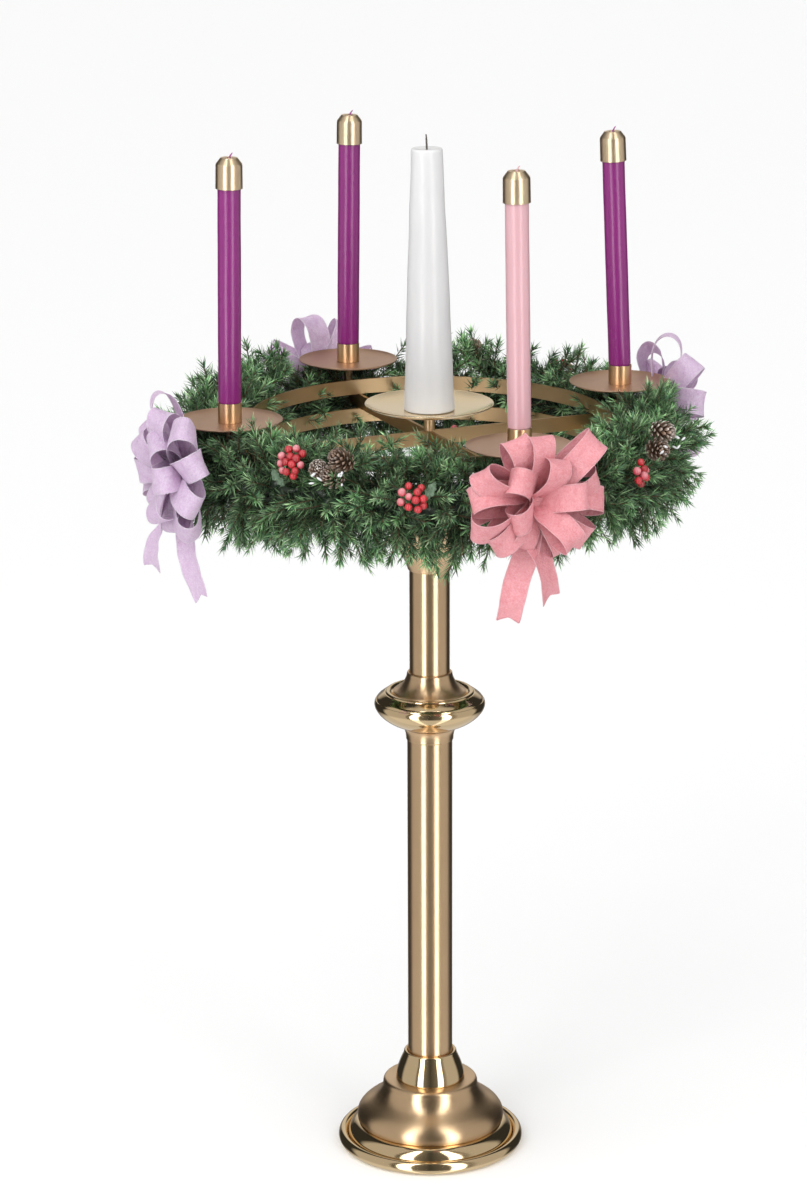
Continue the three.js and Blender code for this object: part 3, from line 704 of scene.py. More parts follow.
class Spray:
    def __init__(self):
        self.v, self.t, self.c, self.m, self.n = [], [], [], [], 0

    def add(self, v, t, c, m):
        self.v.append(v)
        self.t.append(t + self.n)
        self.c.append(c)
        self.m.append(np.full(len(t), m))
        self.n += len(v)


sprays = [Spray() for _ in range(8)]
GREENS = np.array([(0.050, 0.132, 0.045), (0.072, 0.172, 0.060), (0.108, 0.212, 0.086), (0.036, 0.100, 0.046), (0.170, 0.262, 0.130)])


def sprig(base, direction, length, bend, count, needle, width, tint_and_depth_shade):
    """One tip: a curved wire stem with needles all round it, like a bottle brush that tapers to its point."""
    d = unit(direction)
    ts = np.linspace(0, 1, 6)
    pts = base + d * (length * ts)[:, None] + bend * (ts ** 2)[:, None] * length
    sector = int(((math.atan2(pts[3, 1], pts[3, 0]) + TAU) % TAU) / TAU * len(sprays)) % len(sprays)
    hit = blocked(pts[1:]) | above_pan(pts[1:])
    if hit.any():
        k = int(np.argmax(hit))
        if k < 2:
            return False
        pts = pts[: k + 1]
        ts = ts[: k + 1]
    s = sprays[sector]
    top = ts[-1]
    count = max(8, int(count * length * top / 60.0))
    t = np.sort(top * rng.uniform(0.02, 1.0, count) ** 0.85)
    along = np.stack([np.interp(t, ts, pts[:, i]) for i in range(3)], 1)
    ahead = np.stack([np.interp(np.minimum(t + 0.08, top), ts, pts[:, i]) for i in range(3)], 1)
    behind = np.stack([np.interp(t - 0.08, ts, pts[:, i]) for i in range(3)], 1)
    axis = unit(ahead - behind + d * 1e-3)
    ref = np.where(np.abs(axis[:, 2:3]) < 0.8, np.array([[0, 0, 1.0]]), np.array([[1.0, 0, 0]]))
    u = unit(np.cross(axis, ref))
    w = np.cross(axis, u)
    phi = rng.uniform(0, TAU) + np.arange(count) * 2.39996 + rng.normal(0, 0.3, count)
    radial = u * np.cos(phi)[:, None] + w * np.sin(phi)[:, None]
    frac = t / top
    spread = np.radians(50 - 22 * frac ** 4 + rng.normal(0, 8, count))
    ndir = axis * np.cos(spread)[:, None] + radial * np.sin(spread)[:, None]
    ndir[:, 2] -= 0.05
    ndir = unit(ndir)
    nl = needle * (1.0 - 0.18 * frac ** 3) * rng.uniform(0.72, 1.12, count)
    tip = along + ndir * nl[:, None]
    mid = along + ndir * (nl * 0.5)[:, None]
    ok = ~(blocked(tip) | blocked(mid) | above_pan(tip))
    along, ndir, nl, tip, frac, axis = along[ok], ndir[ok], nl[ok], tip[ok], frac[ok], axis[ok]
    k = len(along)
    if k:
        side = unit(np.cross(ndir, axis + rng.normal(0, 0.3, (k, 3))))
        up = np.cross(ndir, side)
        h = width * 0.5
        m0 = along + ndir * (nl * 0.30)[:, None] + up * rng.normal(0, 0.5, (k, 1))
        # a flat needle: pointed at the stem, widest at a third, drawn out to its tip
        v = np.stack([along, m0 + side * h, m0 - side * h, m0 + up * h * 0.55, tip], 1).reshape(-1, 3)
        tri = np.array([(0, 1, 3), (0, 3, 2), (0, 2, 1), (1, 4, 3), (3, 4, 2), (2, 4, 1)])
        T = (tri[None] + 5 * np.arange(k)[:, None, None]).reshape(-1, 3)
        # needle colour: darker towards the sprig's base and nearly black at each needle's root, painted shade; the tips
        # lighter, partly the greenery's own lighter tips and partly a painted highlight; the tint passed in also
        # darkens tips set deep in the wreath as painted shade
        base_c = GREENS[rng.integers(0, len(GREENS), k)] * (0.36 + 0.94 * frac)[:, None] * rng.uniform(0.45, 1.75, (k, 1)) * tint_and_depth_shade
        light_tip_and_highlight_c = base_c * 2.2 + np.array([0.085, 0.088, 0.072]) * tint_and_depth_shade
        col = np.concatenate([(base_c * 0.15)[:, None], np.repeat(base_c[:, None], 3, 1), light_tip_and_highlight_c[:, None]], 1).reshape(-1, 3)
        s.add(v * MM, T, np.c_[col, np.ones(len(col))], 0)
    # stem: a tapered four-sided twig
    sr = 1.3
    ax = unit(np.gradient(pts, axis=0))
    ref1 = np.where(np.abs(ax[:, 2:3]) < 0.8, np.array([[0, 0, 1.0]]), np.array([[1.0, 0, 0]]))
    a1 = unit(np.cross(ax, ref1))
    a2 = np.cross(ax, a1)
    rr = sr * (1 - 0.35 * np.arange(len(pts)) / (len(pts) - 1))
    ang = TAU * np.arange(4) / 4
    rings = (pts[:, None] + (a1[:, None] * np.cos(ang)[None, :, None] + a2[:, None] * np.sin(ang)[None, :, None]) * rr[:, None, None]).reshape(-1, 3)
    rv = np.vstack([rings, pts[-1] + d * 1.5, pts[0]])
    n_r = len(pts)
    tt = []
    for i in range(n_r - 1):
        for q in range(4):
            p0, p1 = i * 4 + q, i * 4 + (q + 1) % 4
            tt += [(p0, p1, p1 + 4), (p0, p1 + 4, p0 + 4)]
    for q in range(4):
        tt += [((n_r - 1) * 4 + q, (n_r - 1) * 4 + (q + 1) % 4, n_r * 4), ((q + 1) % 4, q, n_r * 4 + 1)]
    s.add(rv * MM, np.array(tt), np.tile((0.16, 0.10, 0.055, 1.0), (len(rv), 1)), 1)
    return True


# how far the tips reach from the section's centre, in mm, by angle in the section (0 outwards, 90 up)
REACH_A = np.array([-180, -150, -120, -90, -60, -30, 0, 30, 60, 90, 120, 150, 180])
REACH_R = np.array([88, 94, 96, 102, 100, 90, 84, 94, 108, 116, 114, 104, 88])
TIPS = 2200
made = 0
for i in range(TIPS):
    az = TAU * ((i * 0.618034) % 1.0) + rng.normal(0, 0.012)
    # fewer tips on the inner side, where the rings are, and more above
    theta = rng.uniform(-math.pi, math.pi)
    if abs(theta) > 2.3 and rng.uniform() < 0.12:
        theta = rng.uniform(-2.1, 2.3)
    if rng.uniform() < 0.22:
        theta = rng.choice([-1.0, 1.0]) * rng.uniform(1.05, 2.0)
    er = np.array([math.cos(az), math.sin(az), 0.0])
    et = np.array([-math.sin(az), math.cos(az), 0.0])
    ez = np.array([0, 0, 1.0])
    reach = np.interp(math.degrees(theta), REACH_A, REACH_R) * (1 + 0.11 * math.sin(az * 13 + 1.3) + 0.07 * math.sin(az * 29))
    reach *= 1 + 0.07 * math.sin(az) * max(0.0, math.sin(theta))      # fuller on the far side, pressed lower on the near side
    depth = rng.uniform(0, 1) ** 0.50           # 1: an outer tip, 0: a filler deep inside
    length = rng.uniform(46, 74)
    end_r = (reach - 12) * (0.50 + 0.50 * depth)
    start_r = max(4.0, end_r - length * 0.86)
    start = er * (WC_R + start_r * math.cos(theta)) + ez * (WC_Z + start_r * math.sin(theta))
    th = theta + rng.normal(0, 0.28)
    d = er * math.cos(th) + ez * math.sin(th)
    d = unit((d + et * rng.normal(0, 0.60))[None])[0]
    bend = et * rng.normal(0, 0.20) + ez * rng.uniform(-0.25, 0.14)
    # the last argument is a random tone times a painted shade that darkens tips the deeper they sit in the wreath
    if sprig(start, d, length, bend, (60) * (0.55 + 0.45 * depth), 22.0, 2.5, rng.uniform(0.62, 1.35) * (0.36 + 0.82 * depth)):
        made += 1
# short tufts close to the wire hoops fill the middle of the wreath; their low tint is painted shade deep inside it
for i in range(560):
    az = TAU * ((i * 0.618034 + 0.31) % 1.0) + rng.normal(0, 0.012)
    theta = rng.uniform(-math.pi, math.pi)
    er = np.array([math.cos(az), math.sin(az), 0.0])
    et = np.array([-math.sin(az), math.cos(az), 0.0])
    ez = np.array([0, 0, 1.0])
    d0 = er * math.cos(theta) + ez * math.sin(theta)
    start = er * WC_R + ez * WC_Z + d0 * rng.uniform(14, 24)
    d = unit((d0 + et * rng.normal(0, 0.9))[None])[0]
    sprig(start, d, rng.uniform(26, 38), et * rng.normal(0, 0.2), 46, 17.0, 3.0, rng.uniform(0.25, 0.42))

for i, s in enumerate(sprays):
    v, t, c, m = np.vstack(s.v), np.vstack(s.t), np.vstack(s.c), np.concatenate(s.m)
    ob = tri_mesh(f"greenery_{i + 1}", v, t, [NEEDLE, TWIG], m, c, smooth=False)
    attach(ob, "head")
    if i == 0:
        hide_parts("wreath_greenery")

# a dense core behind the tips: a wobbly tube coloured near black, painted shade deep inside the wreath
core_v, core_t, core_shade_c = [], [], []
NA, NS = 288, 40
for i in range(NA):
    az = TAU * i / NA
    for j in range(NS):
        th = TAU * j / NS
        wob = 1 + 0.16 * math.sin(az * 31 + th * 3) + 0.12 * math.sin(az * 57 - th * 5) + 0.10 * rng.normal()
        r = WC_R + 27 * math.cos(th) * wob
        z = WC_Z + 28 * math.sin(th) * wob
        core_v.append((r * math.cos(az) * MM, r * math.sin(az) * MM, z * MM))
        g = 0.5 + 0.5 * rng.uniform()
        core_shade_c.append((0.014 * g, 0.036 * g, 0.016 * g, 1))
for i in range(NA):
    for j in range(NS):
        p, q = i * NS + j, i * NS + (j + 1) % NS
        p2, q2 = ((i + 1) % NA) * NS + j, ((i + 1) % NA) * NS + (j + 1) % NS
        core_t += [(p, p2, q2), (p, q2, q)]
ob = tri_mesh("greenery_shade_core", np.array(core_v), np.array(core_t), [NEEDLE], None, np.array(core_shade_c))
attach(ob, "head")

# ------------------------------------------------------------------ bows


def smooth01(x):
    x = np.clip(x, 0, 1)
    return x * x * (3 - 2 * x)


class Strip:
    def __init__(self):
        self.v, self.f, self.uv, self.n, self.length = [], [], [], 0, 0.0

    def add(self, path, wdir, widths, rngl, across=11, curl=0.0, pleat=None, crinkle=1.0, end_cut=None):
        """A ribbon along path (n, 3) in mm; wdir (n, 3) is its width direction. pleat (n,) gathers it."""
        n = len(path)
        tang = unit(np.gradient(path, axis=0))
        wdir = unit(wdir - (wdir * tang).sum(1, keepdims=True) * tang)
        nrm = np.cross(tang, wdir)
        q = np.linspace(-1, 1, across)
        seg = np.r_[0, np.cumsum(np.linalg.norm(np.diff(path, axis=0), axis=1))]
        ph = rngl.uniform(0, TAU, 6)
        fr = rngl.uniform(0.035, 0.11, 6)
        grid = np.zeros((n, across, 3))
        for j, qq in enumerate(q):
            off = curl * (qq * qq - 0.4) * widths * 0.25
            wave = sum(math.cos(ph[k] + qq * (1.5 + k)) * np.sin(seg * fr[k] + ph[k] * 1.7 + qq * 0.8 * k) for k in range(6)) / 6
            off = off + crinkle * wave * 1.3 * (0.4 + 0.6 * abs(qq))
            fold = np.abs(((seg * 0.031 + ph[0] + 0.35 * qq) % 1.0) - 0.5) * 2 - 0.5
            off = off + crinkle * 1.1 * fold * (0.5 + 0.5 * np.sin(seg * 0.02 + ph[1]))
            if pleat is not None:
                off = off + pleat * 3.6 * math.cos(qq * math.pi * 2.5)
            grid[:, j] = path + wdir * (qq * widths * 0.5)[:, None] + nrm * off[:, None]
        if end_cut is not None:
            reach = end_cut
            k = max(3, int(n * 0.10))
            for j, qq in enumerate(q):
                shift = reach * (abs(qq) - 0.45) * 1.6
                wts = smooth01((np.arange(n) - (n - 1 - k)) / k)
                grid[:, j] += tang * (wts * shift)[:, None]
        base = self.n
        self.v.append(grid.reshape(-1, 3))
        for i in range(n - 1):
            for j in range(across - 1):
                p = base + i * across + j
                self.f.append((p, p + 1, p + across + 1, p + across))
        uu = np.repeat(((seg + self.length) * MM)[:, None], across, 1)
        vv = np.repeat(((q + 1) / 2)[None], n, 0)
        self.uv.append(np.stack([uu, vv], -1).reshape(-1, 2))
        self.n += n * across
        self.length += seg[-1]


RIBBON_W = 40.0


def loop_path(direction, opening, L, H, n=44):
    t = np.linspace(0.10, TAU - 0.10, n)
    x = L * (1 - np.cos(t)) / 2
    y = H * np.sin(t) * np.sin(t / 2) ** 1.2
    return direction * x[:, None] + opening * y[:, None], t


BOW_AT = {"front": (-25.0, -430.0, 1209.0), "left": (-430.0, -46.0, 1207.0), "right": (424.0, 26.0, 1222.0), "back": (-12.0, 424.0, 1212.0)}


def make_bow(key, loops, tails, mat, seed):
    rl = np.random.default_rng(seed)
    dx, dy = STATIONS[key]
    n_out = np.array([dx, dy, 0.0])
    e1 = np.array([-dy, dx, 0.0])          # to the right when seen from outside
    ez = np.array([0, 0, 1.0])
    centre = np.array(BOW_AT[key])
    s = Strip()
    for phi, psi, L, H, twist in loops:
        ph, ps, tw = map(math.radians, (phi, psi, twist))
        flat = e1 * math.cos(ph) + ez * math.sin(ph)
        d = flat * math.cos(ps) + n_out * math.sin(ps)
        w0 = -e1 * math.sin(ph) + ez * math.cos(ph)
        m0 = unit(np.cross(w0, d)[None])[0]
        w = w0 * math.cos(tw) + m0 * math.sin(tw)
        m = np.cross(w, d)
        path, t = loop_path(d, m, L, H)
        far = smooth01((path @ d) / L * 2.6)
        widths = RIBBON_W * (0.30 + 0.70 * far)
        # the two ends of the loop leave the knot at slightly different angles
        lean = smooth01(t / TAU)[:, None] * w * rl.uniform(-10, 10)
        path = path + lean * far[:, None] + centre + n_out * rl.uniform(0, 4)
        wd = np.repeat(w[None], len(path), 0) + m * (0.25 * np.sin(t))[:, None] * rl.uniform(-1, 1)
        s.add(path, wd, widths, rl, curl=rl.uniform(-0.25, 0.15), pleat=(1 - far), crinkle=1.6)
    for ang, length, out, sway, wob, cut in tails:
        n = 46
        t = np.linspace(0, 1, n)
        a_ = math.radians(ang)
        x = math.sin(a_) * length * t + sway * np.sin(t * math.pi * 1.3)
        z = -length * t * math.cos(a_) + 6 * np.sin(t * 9 + wob)
        y = out * np.sin(np.minimum(t * 2.2, 1) * math.pi / 2) + 7 * np.sin(t * 8.0 + wob) * t
        path = centre + e1 * x[:, None] + ez * z[:, None] + n_out * y[:, None]
        rot = math.radians(rl.uniform(-16, 16)) + 0.55 * np.sin(t * 3.0 + wob)
        wd = e1 * np.cos(rot)[:, None] + n_out * np.sin(rot)[:, None]
        far = smooth01(t * 4.5)
        s.add(path, wd, RIBBON_W * (0.32 + 0.66 * far), rl, curl=0.2, pleat=(1 - far), crinkle=1.6, end_cut=cut)
    # the knot: a short band wrapped round the gathered middle
    t = np.linspace(0, TAU, 30)
    ring = centre + n_out * (6 + 13 * np.cos(t))[:, None] + ez * (15 * np.sin(t))[:, None]
    s.add(ring, np.repeat(e1[None], 30, 0), np.full(30, 24.0), rl, curl=-0.3, crinkle=0.8)
    v = np.vstack(s.v) * MM
    me = bpy.data.meshes.new(f"bow_{key}_visual")
    me.from_pydata(v.tolist(), [], s.f)
    uvs = np.vstack(s.uv)
    layer = me.uv_layers.new(name="UVMap")
    idx = np.empty(len(me.loops), np.int32)
    me.loops.foreach_get("vertex_index", idx)
    layer.data.foreach_set("uv", uvs[idx].astype(np.float32).ravel())
    for p in me.polygons:
        p.use_smooth = True
    me.materials.append(mat)
    ob = bpy.data.objects.new(f"bow_{key}_visual", me)
    scene.collection.objects.link(ob)
    sub = ob.modifiers.new("smooth", "SUBSURF")
    sub.levels = sub.render_levels = 1
    sol = ob.modifiers.new("cloth", "SOLIDIFY")
    sol.thickness = 0.0006
    sol.offset = 0
    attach(ob, "head")
    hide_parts(f"bow_{key}")
    return ob, s.length


def ring_loops(rl, shift, back, front, size=1.0):
    out = []
    for i in range(back):
        out.append((shift + 360 * i / back + rl.uniform(-9, 9), rl.uniform(3, 14), size * rl.uniform(92, 106), rl.uniform(24, 32), rl.uniform(-38, 38)))
    for i in range(front):
        out.append((shift + 26 + 360 * i / front + rl.uniform(-10, 10), rl.uniform(30, 42), rl.uniform(66, 76), rl.uniform(22, 28), rl.uniform(-30, 30)))
    out.append((shift + 70, 74, 40, 16, 10))
    return out


# the pink bow's loops, as (angle, lift, length, half height, twist), then its tails
front_loops = [
    (112, 8, 104, 25, 4), (88, 16, 104, 26, -6), (46, 12, 132, 30, 20), (22, 14, 104, 27, -30), (-6, 10, 112, 26, 22),
    (-36, 14, 104, 26, -14), (196, 12, 112, 28, 30), (176, 8, 104, 26, -34), (152, 12, 110, 26, 44), (220, 10, 96, 26, 12),
    (250, 12, 74, 22, 8), (296, 14, 92, 24, -8),
    (70, 36, 84, 26, -12), (10, 38, 86, 26, 16), (-52, 40, 96, 27, 14), (140, 36, 76, 24, -22), (214, 40, 66, 22, 18),
]
front_tails = [(-13, 180, 12, 5, 0.4, 5.0), (8, 146, 20, -8, 2.2, 6.0)]
make_bow("front", front_loops, front_tails, SALMON, 11)
left_loops = [
    (100, 12, 124, 27, 10), (74, 22, 112, 28, -24), (44, 14, 126, 28, 18), (16, 10, 138, 27, -22), (-12, 14, 134, 27, 26),
    (-42, 10, 118, 27, -14), (-74, 14, 96, 25, 16), (136, 12, 104, 27, -30), (168, 14, 104, 26, 24), (204, 12, 104, 26, -16),
    (240, 12, 92, 25, 20), (60, 40, 92, 26, 8), (4, 36, 110, 27, -10), (-58, 40, 98, 27, 14), (116, 42, 84, 25, -16), (188, 40, 80, 24, 12),
]
rl = np.random.default_rng(5)
make_bow("left", left_loops, [(-12, 160, 36, 10, 0.9, 5.0), (14, 188, 2, -14, 2.5, 6.0)], LILAC, 12)
make_bow("right", ring_loops(rl, 8, 9, 5, 1.10), [(-12, 126, 10, 8, 1.9, 6.0), (9, 138, 12, -8, 0.5, 8.0)], LILAC, 13)
make_bow("back", ring_loops(rl, 33, 9, 5, 1.10), [(-8, 176, 18, 6, 3.1, 6.0), (12, 160, 14, -8, 1.2, 8.0)], LILAC, 14)

# ------------------------------------------------------------------ berries, cones, frosting, leaf


def ball(r, nu=14, nv=9):
    v = [(0, 0, r)]
    for i in range(1, nv):
        p = math.pi * i / nv
        for k in range(nu):
            q = TAU * k / nu
            v.append((r * math.sin(p) * math.cos(q), r * math.sin(p) * math.sin(q), r * math.cos(p)))
    v.append((0, 0, -r))
    t = []
    for k in range(nu):
        t.append((0, 1 + k, 1 + (k + 1) % nu))
    for i in range(nv - 2):
        for k in range(nu):
            p, q = 1 + i * nu + k, 1 + i * nu + (k + 1) % nu
            t += [(p, p + nu, q + nu), (p, q + nu, q)]
    last = len(v) - 1
    for k in range(nu):
        t.append((last, last - nu + (k + 1) % nu, last - nu + k))
    return np.array(v), np.array(t)


BALL_V, BALL_T = ball(1.0)
BALL_S, BALL_ST = ball(1.0, 8, 5)


def node_centre(name):
    lo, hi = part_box(name)
    return np.array((lo + hi) / 2) / MM


def frame_at(c):
    er = unit(np.array([[c[0], c[1], 0.0]]))[0]
    et = np.array([-er[1], er[0], 0.0])
    up = np.array([0, 0, 1.0])
    return er, et, up


def berries(name, count, r, spread, seed, lift=0.35):
    rl = np.random.default_rng(seed)
    c = node_centre(name)
    er, et, up = frame_at(c)
    nrm = unit((er + up * lift)[None])[0]
    vv = np.cross(nrm, et)
    V, T, C, n = [], [], [], 0
    pts = []
    tries = 0
    while len(pts) < count and tries < 4000:
        tries += 1
        a_, b_ = rl.uniform(-1, 1, 2)
        if a_ * a_ + b_ * b_ > 1:
            continue
        p = et * a_ * spread + vv * b_ * spread * 1.15 + nrm * (spread * 0.45 * math.sqrt(max(0, 1 - a_ * a_ - b_ * b_)) + rl.uniform(-2, 2))
        if all(np.linalg.norm(p - q) > 1.82 * r for q in pts):
            pts.append(p)
    for p in pts:
        rr = r * rl.uniform(0.92, 1.08)
        bv = BALL_V * rr * (1 + 0.02 * rl.normal(size=(len(BALL_V), 1)))
        w = c + p
        frosty = rl.uniform() < 0.36
        tone = np.array([0.50, 0.012, 0.022]) * rl.uniform(0.7, 1.25) if not frosty else np.array([0.62, 0.07, 0.10])
        # lighter towards the top and outer side: frost on the frosted berries, and on the plain ones a small painted
        # highlight
        k = np.clip(BALL_V[:, 2] * 0.6 + BALL_V @ nrm * 0.5, 0, 1)[:, None] * (0.60 if frosty else 0.08)
        col = tone * (1 - k) + np.array([0.92, 0.55, 0.58]) * k
        V.append((bv + w) * MM); T.append(BALL_T + n); C.append(np.c_[col, np.ones(len(col))]); n += len(bv)
        # a short wire from the berry back into the greenery
        q0 = w - nrm * rr * 0.8
        q1 = c - nrm * 20 + p * 0.25
        dr = unit((q1 - q0)[None])[0]
        u1 = unit(np.cross(dr, up + 0.01)[None])[0]
        u2 = np.cross(dr, u1)
        tube = np.array([q + (u1 * math.cos(x) + u2 * math.sin(x)) * 0.8 for q in (q0, q1) for x in (0, 2.094, 4.188)])
        tt = np.array([(0, 1, 4), (0, 4, 3), (1, 2, 5), (1, 5, 4), (2, 0, 3), (2, 3, 5), (0, 2, 1), (3, 4, 5)])
        V.append(tube * MM); T.append(tt + n); C.append(np.tile((0.05, 0.06, 0.02, 1), (6, 1))); n += 6
    ob = tri_mesh(name + "_visual", np.vstack(V), np.vstack(T), [BERRY], None, np.vstack(C))
    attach(ob, "head")
    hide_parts(name)
    return ob


berries("berries_1", 15, 6.0, 19, 21)
berries("berries_2", 15, 6.0, 19, 22, 0.1)
berries("berries_3", 9, 6.0, 15, 23, 0.1)
berries("berries_4", 5, 6.0, 10, 24, 0.2)
berries("berries_5", 14, 6.0, 19, 25)


def pinecone(c, axis, length, radius, rl, V, T, C, n, frost):
    ax = unit(np.array([axis], float))[0]
    ref = np.array([0, 0, 1.0]) if abs(ax[2]) < 0.8 else np.array([1.0, 0, 0])
    u = unit(np.cross(ax, ref)[None])[0]
    w = np.cross(ax, u)
    count = 64
    # core
    cv = BALL_V * np.array([radius * 0.45, radius * 0.45, length * 0.48])
    cw = c + cv[:, :1] * u + cv[:, 1:2] * w + cv[:, 2:3] * ax
    V.append(cw * MM); T.append(BALL_T + n); C.append(np.tile((0.05, 0.028, 0.015, 1), (len(cw), 1))); n += len(cw)
    for i in range(count):
        f = (i + 0.5) / count
        ang = i * 2.39996
        z = (f - 0.5) * length
        r = radius * math.sin(math.pi * min(0.98, 0.10 + f * 0.86)) ** 0.7
        rad = u * math.cos(ang) + w * math.sin(ang)
        tan = np.cross(ax, rad)
        out = unit((rad * (1.0 - 0.65 * f) + ax * (0.15 + 0.95 * f))[None])[0]
        nrm = np.cross(tan, out)
        b0 = c + ax * z + rad * r * 0.30
        L = r * 0.78 + 2.0
        wd = 3.6 * (1 - 0.35 * f)
        prof = [(0.0, 0.35, 0.0), (0.45, 0.9, 0.5), (0.8, 1.0, 0.2), (1.0, 0.62, -0.9)]
        pts = []
        for s_, ww, hh in prof:
            p = b0 + out * L * s_ + nrm * hh
            pts += [p - tan * wd * ww, p + nrm * 0.9, p + tan * wd * ww, p - nrm * 1.0]
        tip = b0 + out * (L * 1.06) - nrm * 1.0
        pts.append(tip)
        tri = []
        for k in range(3):
            for q in range(4):
                p0, p1 = k * 4 + q, k * 4 + (q + 1) % 4
                tri += [(p0, p1, p1 + 4), (p0, p1 + 4, p0 + 4)]
        for q in range(4):
            tri.append((12 + q, 12 + (q + 1) % 4, 16))
        tri += [(0, 3, 2), (0, 2, 1)]
        brown = np.array([0.24, 0.13, 0.075]) * rl.uniform(0.5, 1.3)
        white = np.array([0.88, 0.82, 0.76])
        amount = frost * rl.uniform(0.3, 1.0)
        col = []
        for k, (s_, ww, hh) in enumerate(prof):
            k_ = amount * max(0.0, (s_ - 0.62) / 0.38)
            cc = brown * (0.5 + 0.6 * s_) * (1 - k_) + white * k_
            col += [cc] * 4
        col.append(brown * (1 - amount) + white * amount)
        V.append(np.array(pts) * MM); T.append(np.array(tri) + n); C.append(np.c_[np.array(col), np.ones(17)]); n += 17
    return n


def pinecones(name, seed, pair):
    rl = np.random.default_rng(seed)
    c = node_centre(name)
    er, et, up = frame_at(c)
    V, T, C, n = [], [], [], 0
    for (du, dt, dn, frost, size) in pair:
        p = c + up * du + et * dt + er * dn
        axis = er * 0.9 + up * rl.uniform(-0.2, 0.6) + et * rl.uniform(-0.7, 0.7)
        n = pinecone(p, axis, 38 * size, 19 * size, rl, V, T, C, n, frost)
    ob = tri_mesh(name + "_visual", np.vstack(V), np.vstack(T), [CONE], None, np.vstack(C), smooth=False)
    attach(ob, "head")
    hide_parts(name)
    # a few frosted buds beside the cones
    V, T, n = [], [], 0
    for k in range(7):
        p = c + et * rl.uniform(12, 30) * (1 if k % 3 else -1) + up * rl.uniform(-26, 2) + er * rl.uniform(16, 28)
        d = unit((er * 0.6 + et * rl.uniform(-1, 1) + up * rl.uniform(-0.4, 1.0))[None])[0]
        u1 = unit(np.cross(d, up + 0.02)[None])[0]
        u2 = np.cross(d, u1)
        b_ = BALL_V * np.array([1.9, 1.9, rl.uniform(4.0, 6.0)]) * rl.uniform(0.8, 1.1)
        V.append((b_[:, :1] * u1 + b_[:, 1:2] * u2 + b_[:, 2:3] * d + p) * MM)
        T.append(BALL_T + n)
        n += len(BALL_V)
    ob = tri_mesh(name + "_frost", np.vstack(V), np.vstack(T), [FROST])
    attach(ob, "head")


pinecones("pinecones_1", 31, [(12, 12, 2, 0.35, 0.95), (-16, -4, 0, 0.5, 0.9), (-6, -28, -2, 1.0, 0.75)])
pinecones("pinecones_2", 32, [(10, 6, 0, 0.9, 0.9), (-16, -8, 0, 0.5, 0.95)])
pinecones("pinecones_3", 33, [(10, 8, 0, 0.5, 0.95), (-14, -10, 0, 0.8, 0.9)])

# ------------------------------------------------------------------ holly leaves beside two of the berry clusters
def holly(name, berry, side, rise, turn, seed):
    rl = np.random.default_rng(seed)
    c = node_centre(berry)
    er, et, up = frame_at(c)
    o_ = c + et * side + up * rise + er * 6
    ax = et * math.sin(turn) + up * math.cos(turn)
    cr = np.cross(er, ax)
    nu, nv = 33, 9
    v, f = [], []
    for layer in (0.35, -0.35):
        for i in range(nu):
            t_ = i / (nu - 1)
            half = 7.5 * math.sin(math.pi * min(t_ * 0.98 + 0.01, 1)) ** 0.7 * (0.72 + 0.38 * abs(math.sin(t_ * math.pi * 3.5)) ** 2)
            for j in range(nv):
                q = j / (nv - 1) * 2 - 1
                h_ = 2.2 * q * q + 1.6 * math.sin(t_ * 11 + 2 * q) * abs(q) - 3.0 * (t_ - 0.5) ** 2 * 4
                p = o_ + ax * (t_ - 0.5) * 32 + cr * q * half + er * (h_ + layer)
                v.append(p * MM)
    m_ = nu * nv
    for i in range(nu - 1):
        for j in range(nv - 1):
            a0 = i * nv + j
            f += [(a0, a0 + 1, a0 + nv + 1), (a0, a0 + nv + 1, a0 + nv)]
            f += [(m_ + a0, m_ + a0 + nv + 1, m_ + a0 + 1), (m_ + a0, m_ + a0 + nv, m_ + a0 + nv + 1)]
    rim = [i * nv for i in range(nu)] + [(nu - 1) * nv + j for j in range(1, nv)] + [i * nv + nv - 1 for i in range(nu - 2, -1, -1)] + list(range(nv - 2, 0, -1))
    for k in range(len(rim)):
        a0, b0 = rim[k], rim[(k + 1) % len(rim)]
        f += [(a0, b0, b0 + m_), (a0, b0 + m_, a0 + m_)]
    v = np.array(v)
    col = np.tile((0.10, 0.17, 0.10, 1.0), (len(v), 1)) * (1 + 0.2 * rl.normal(size=(len(v), 1)))
    col[:, 3] = 1
    ob = tri_mesh(name, v, np.array(f), [NEEDLE], None, np.clip(col, 0, 1))
    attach(ob, "head")


holly("holly_1", "berries_2", 27, 12, 0.5, 51)
holly("holly_2", "berries_1", -22, -26, 2.4, 52)

# ------------------------------------------------------------------ floor and light
me = bpy.data.meshes.new("floor")
S = 60.0
me.from_pydata([(-S, -S, 0), (S, -S, 0), (S, S, 0), (-S, S, 0)], [], [(0, 1, 2, 3)])
floor = bpy.data.objects.new("floor", me)
scene.collection.objects.link(floor)
fm, nt, b = material("floor_pale")
b.inputs["Base Color"].default_value = (0.90, 0.90, 0.90, 1)
b.inputs["Roughness"].default_value = 0.9
b.inputs["Specular IOR Level"].default_value = 0.1
me.materials.append(fm)
floor.visible_glossy = False


def area(name, az, el, dist, sx, sy, power, target=(0, 0, 1.0), colour=(1, 1, 1)):
    """An area light placed by its azimuth from the camera's own direction (positive to the right)."""
    d = bpy.data.lights.new(name, "AREA")
    d.shape = "RECTANGLE"
    d.size, d.size_y = sx, sy
    d.energy = power
    d.color = colour
    o = bpy.data.objects.new(name, d)
    scene.collection.objects.link(o)
    a_ = math.radians(CAM_AZ + az)
    e_ = math.radians(el)
    t = Vector(target)
    p = t + Vector((math.sin(a_) * math.cos(e_), -math.cos(a_) * math.cos(e_), math.sin(e_))) * dist
    o.location = p
    o.rotation_euler = (t - p).to_track_quat("-Z", "Y").to_euler()
    o.visible_glossy = False
    o.visible_camera = False
    return o


area("key_left", -34, 34, 4.2, 1.6, 2.2, 34)
area("key_right", 38, 28, 4.2, 1.2, 2.2, 18)

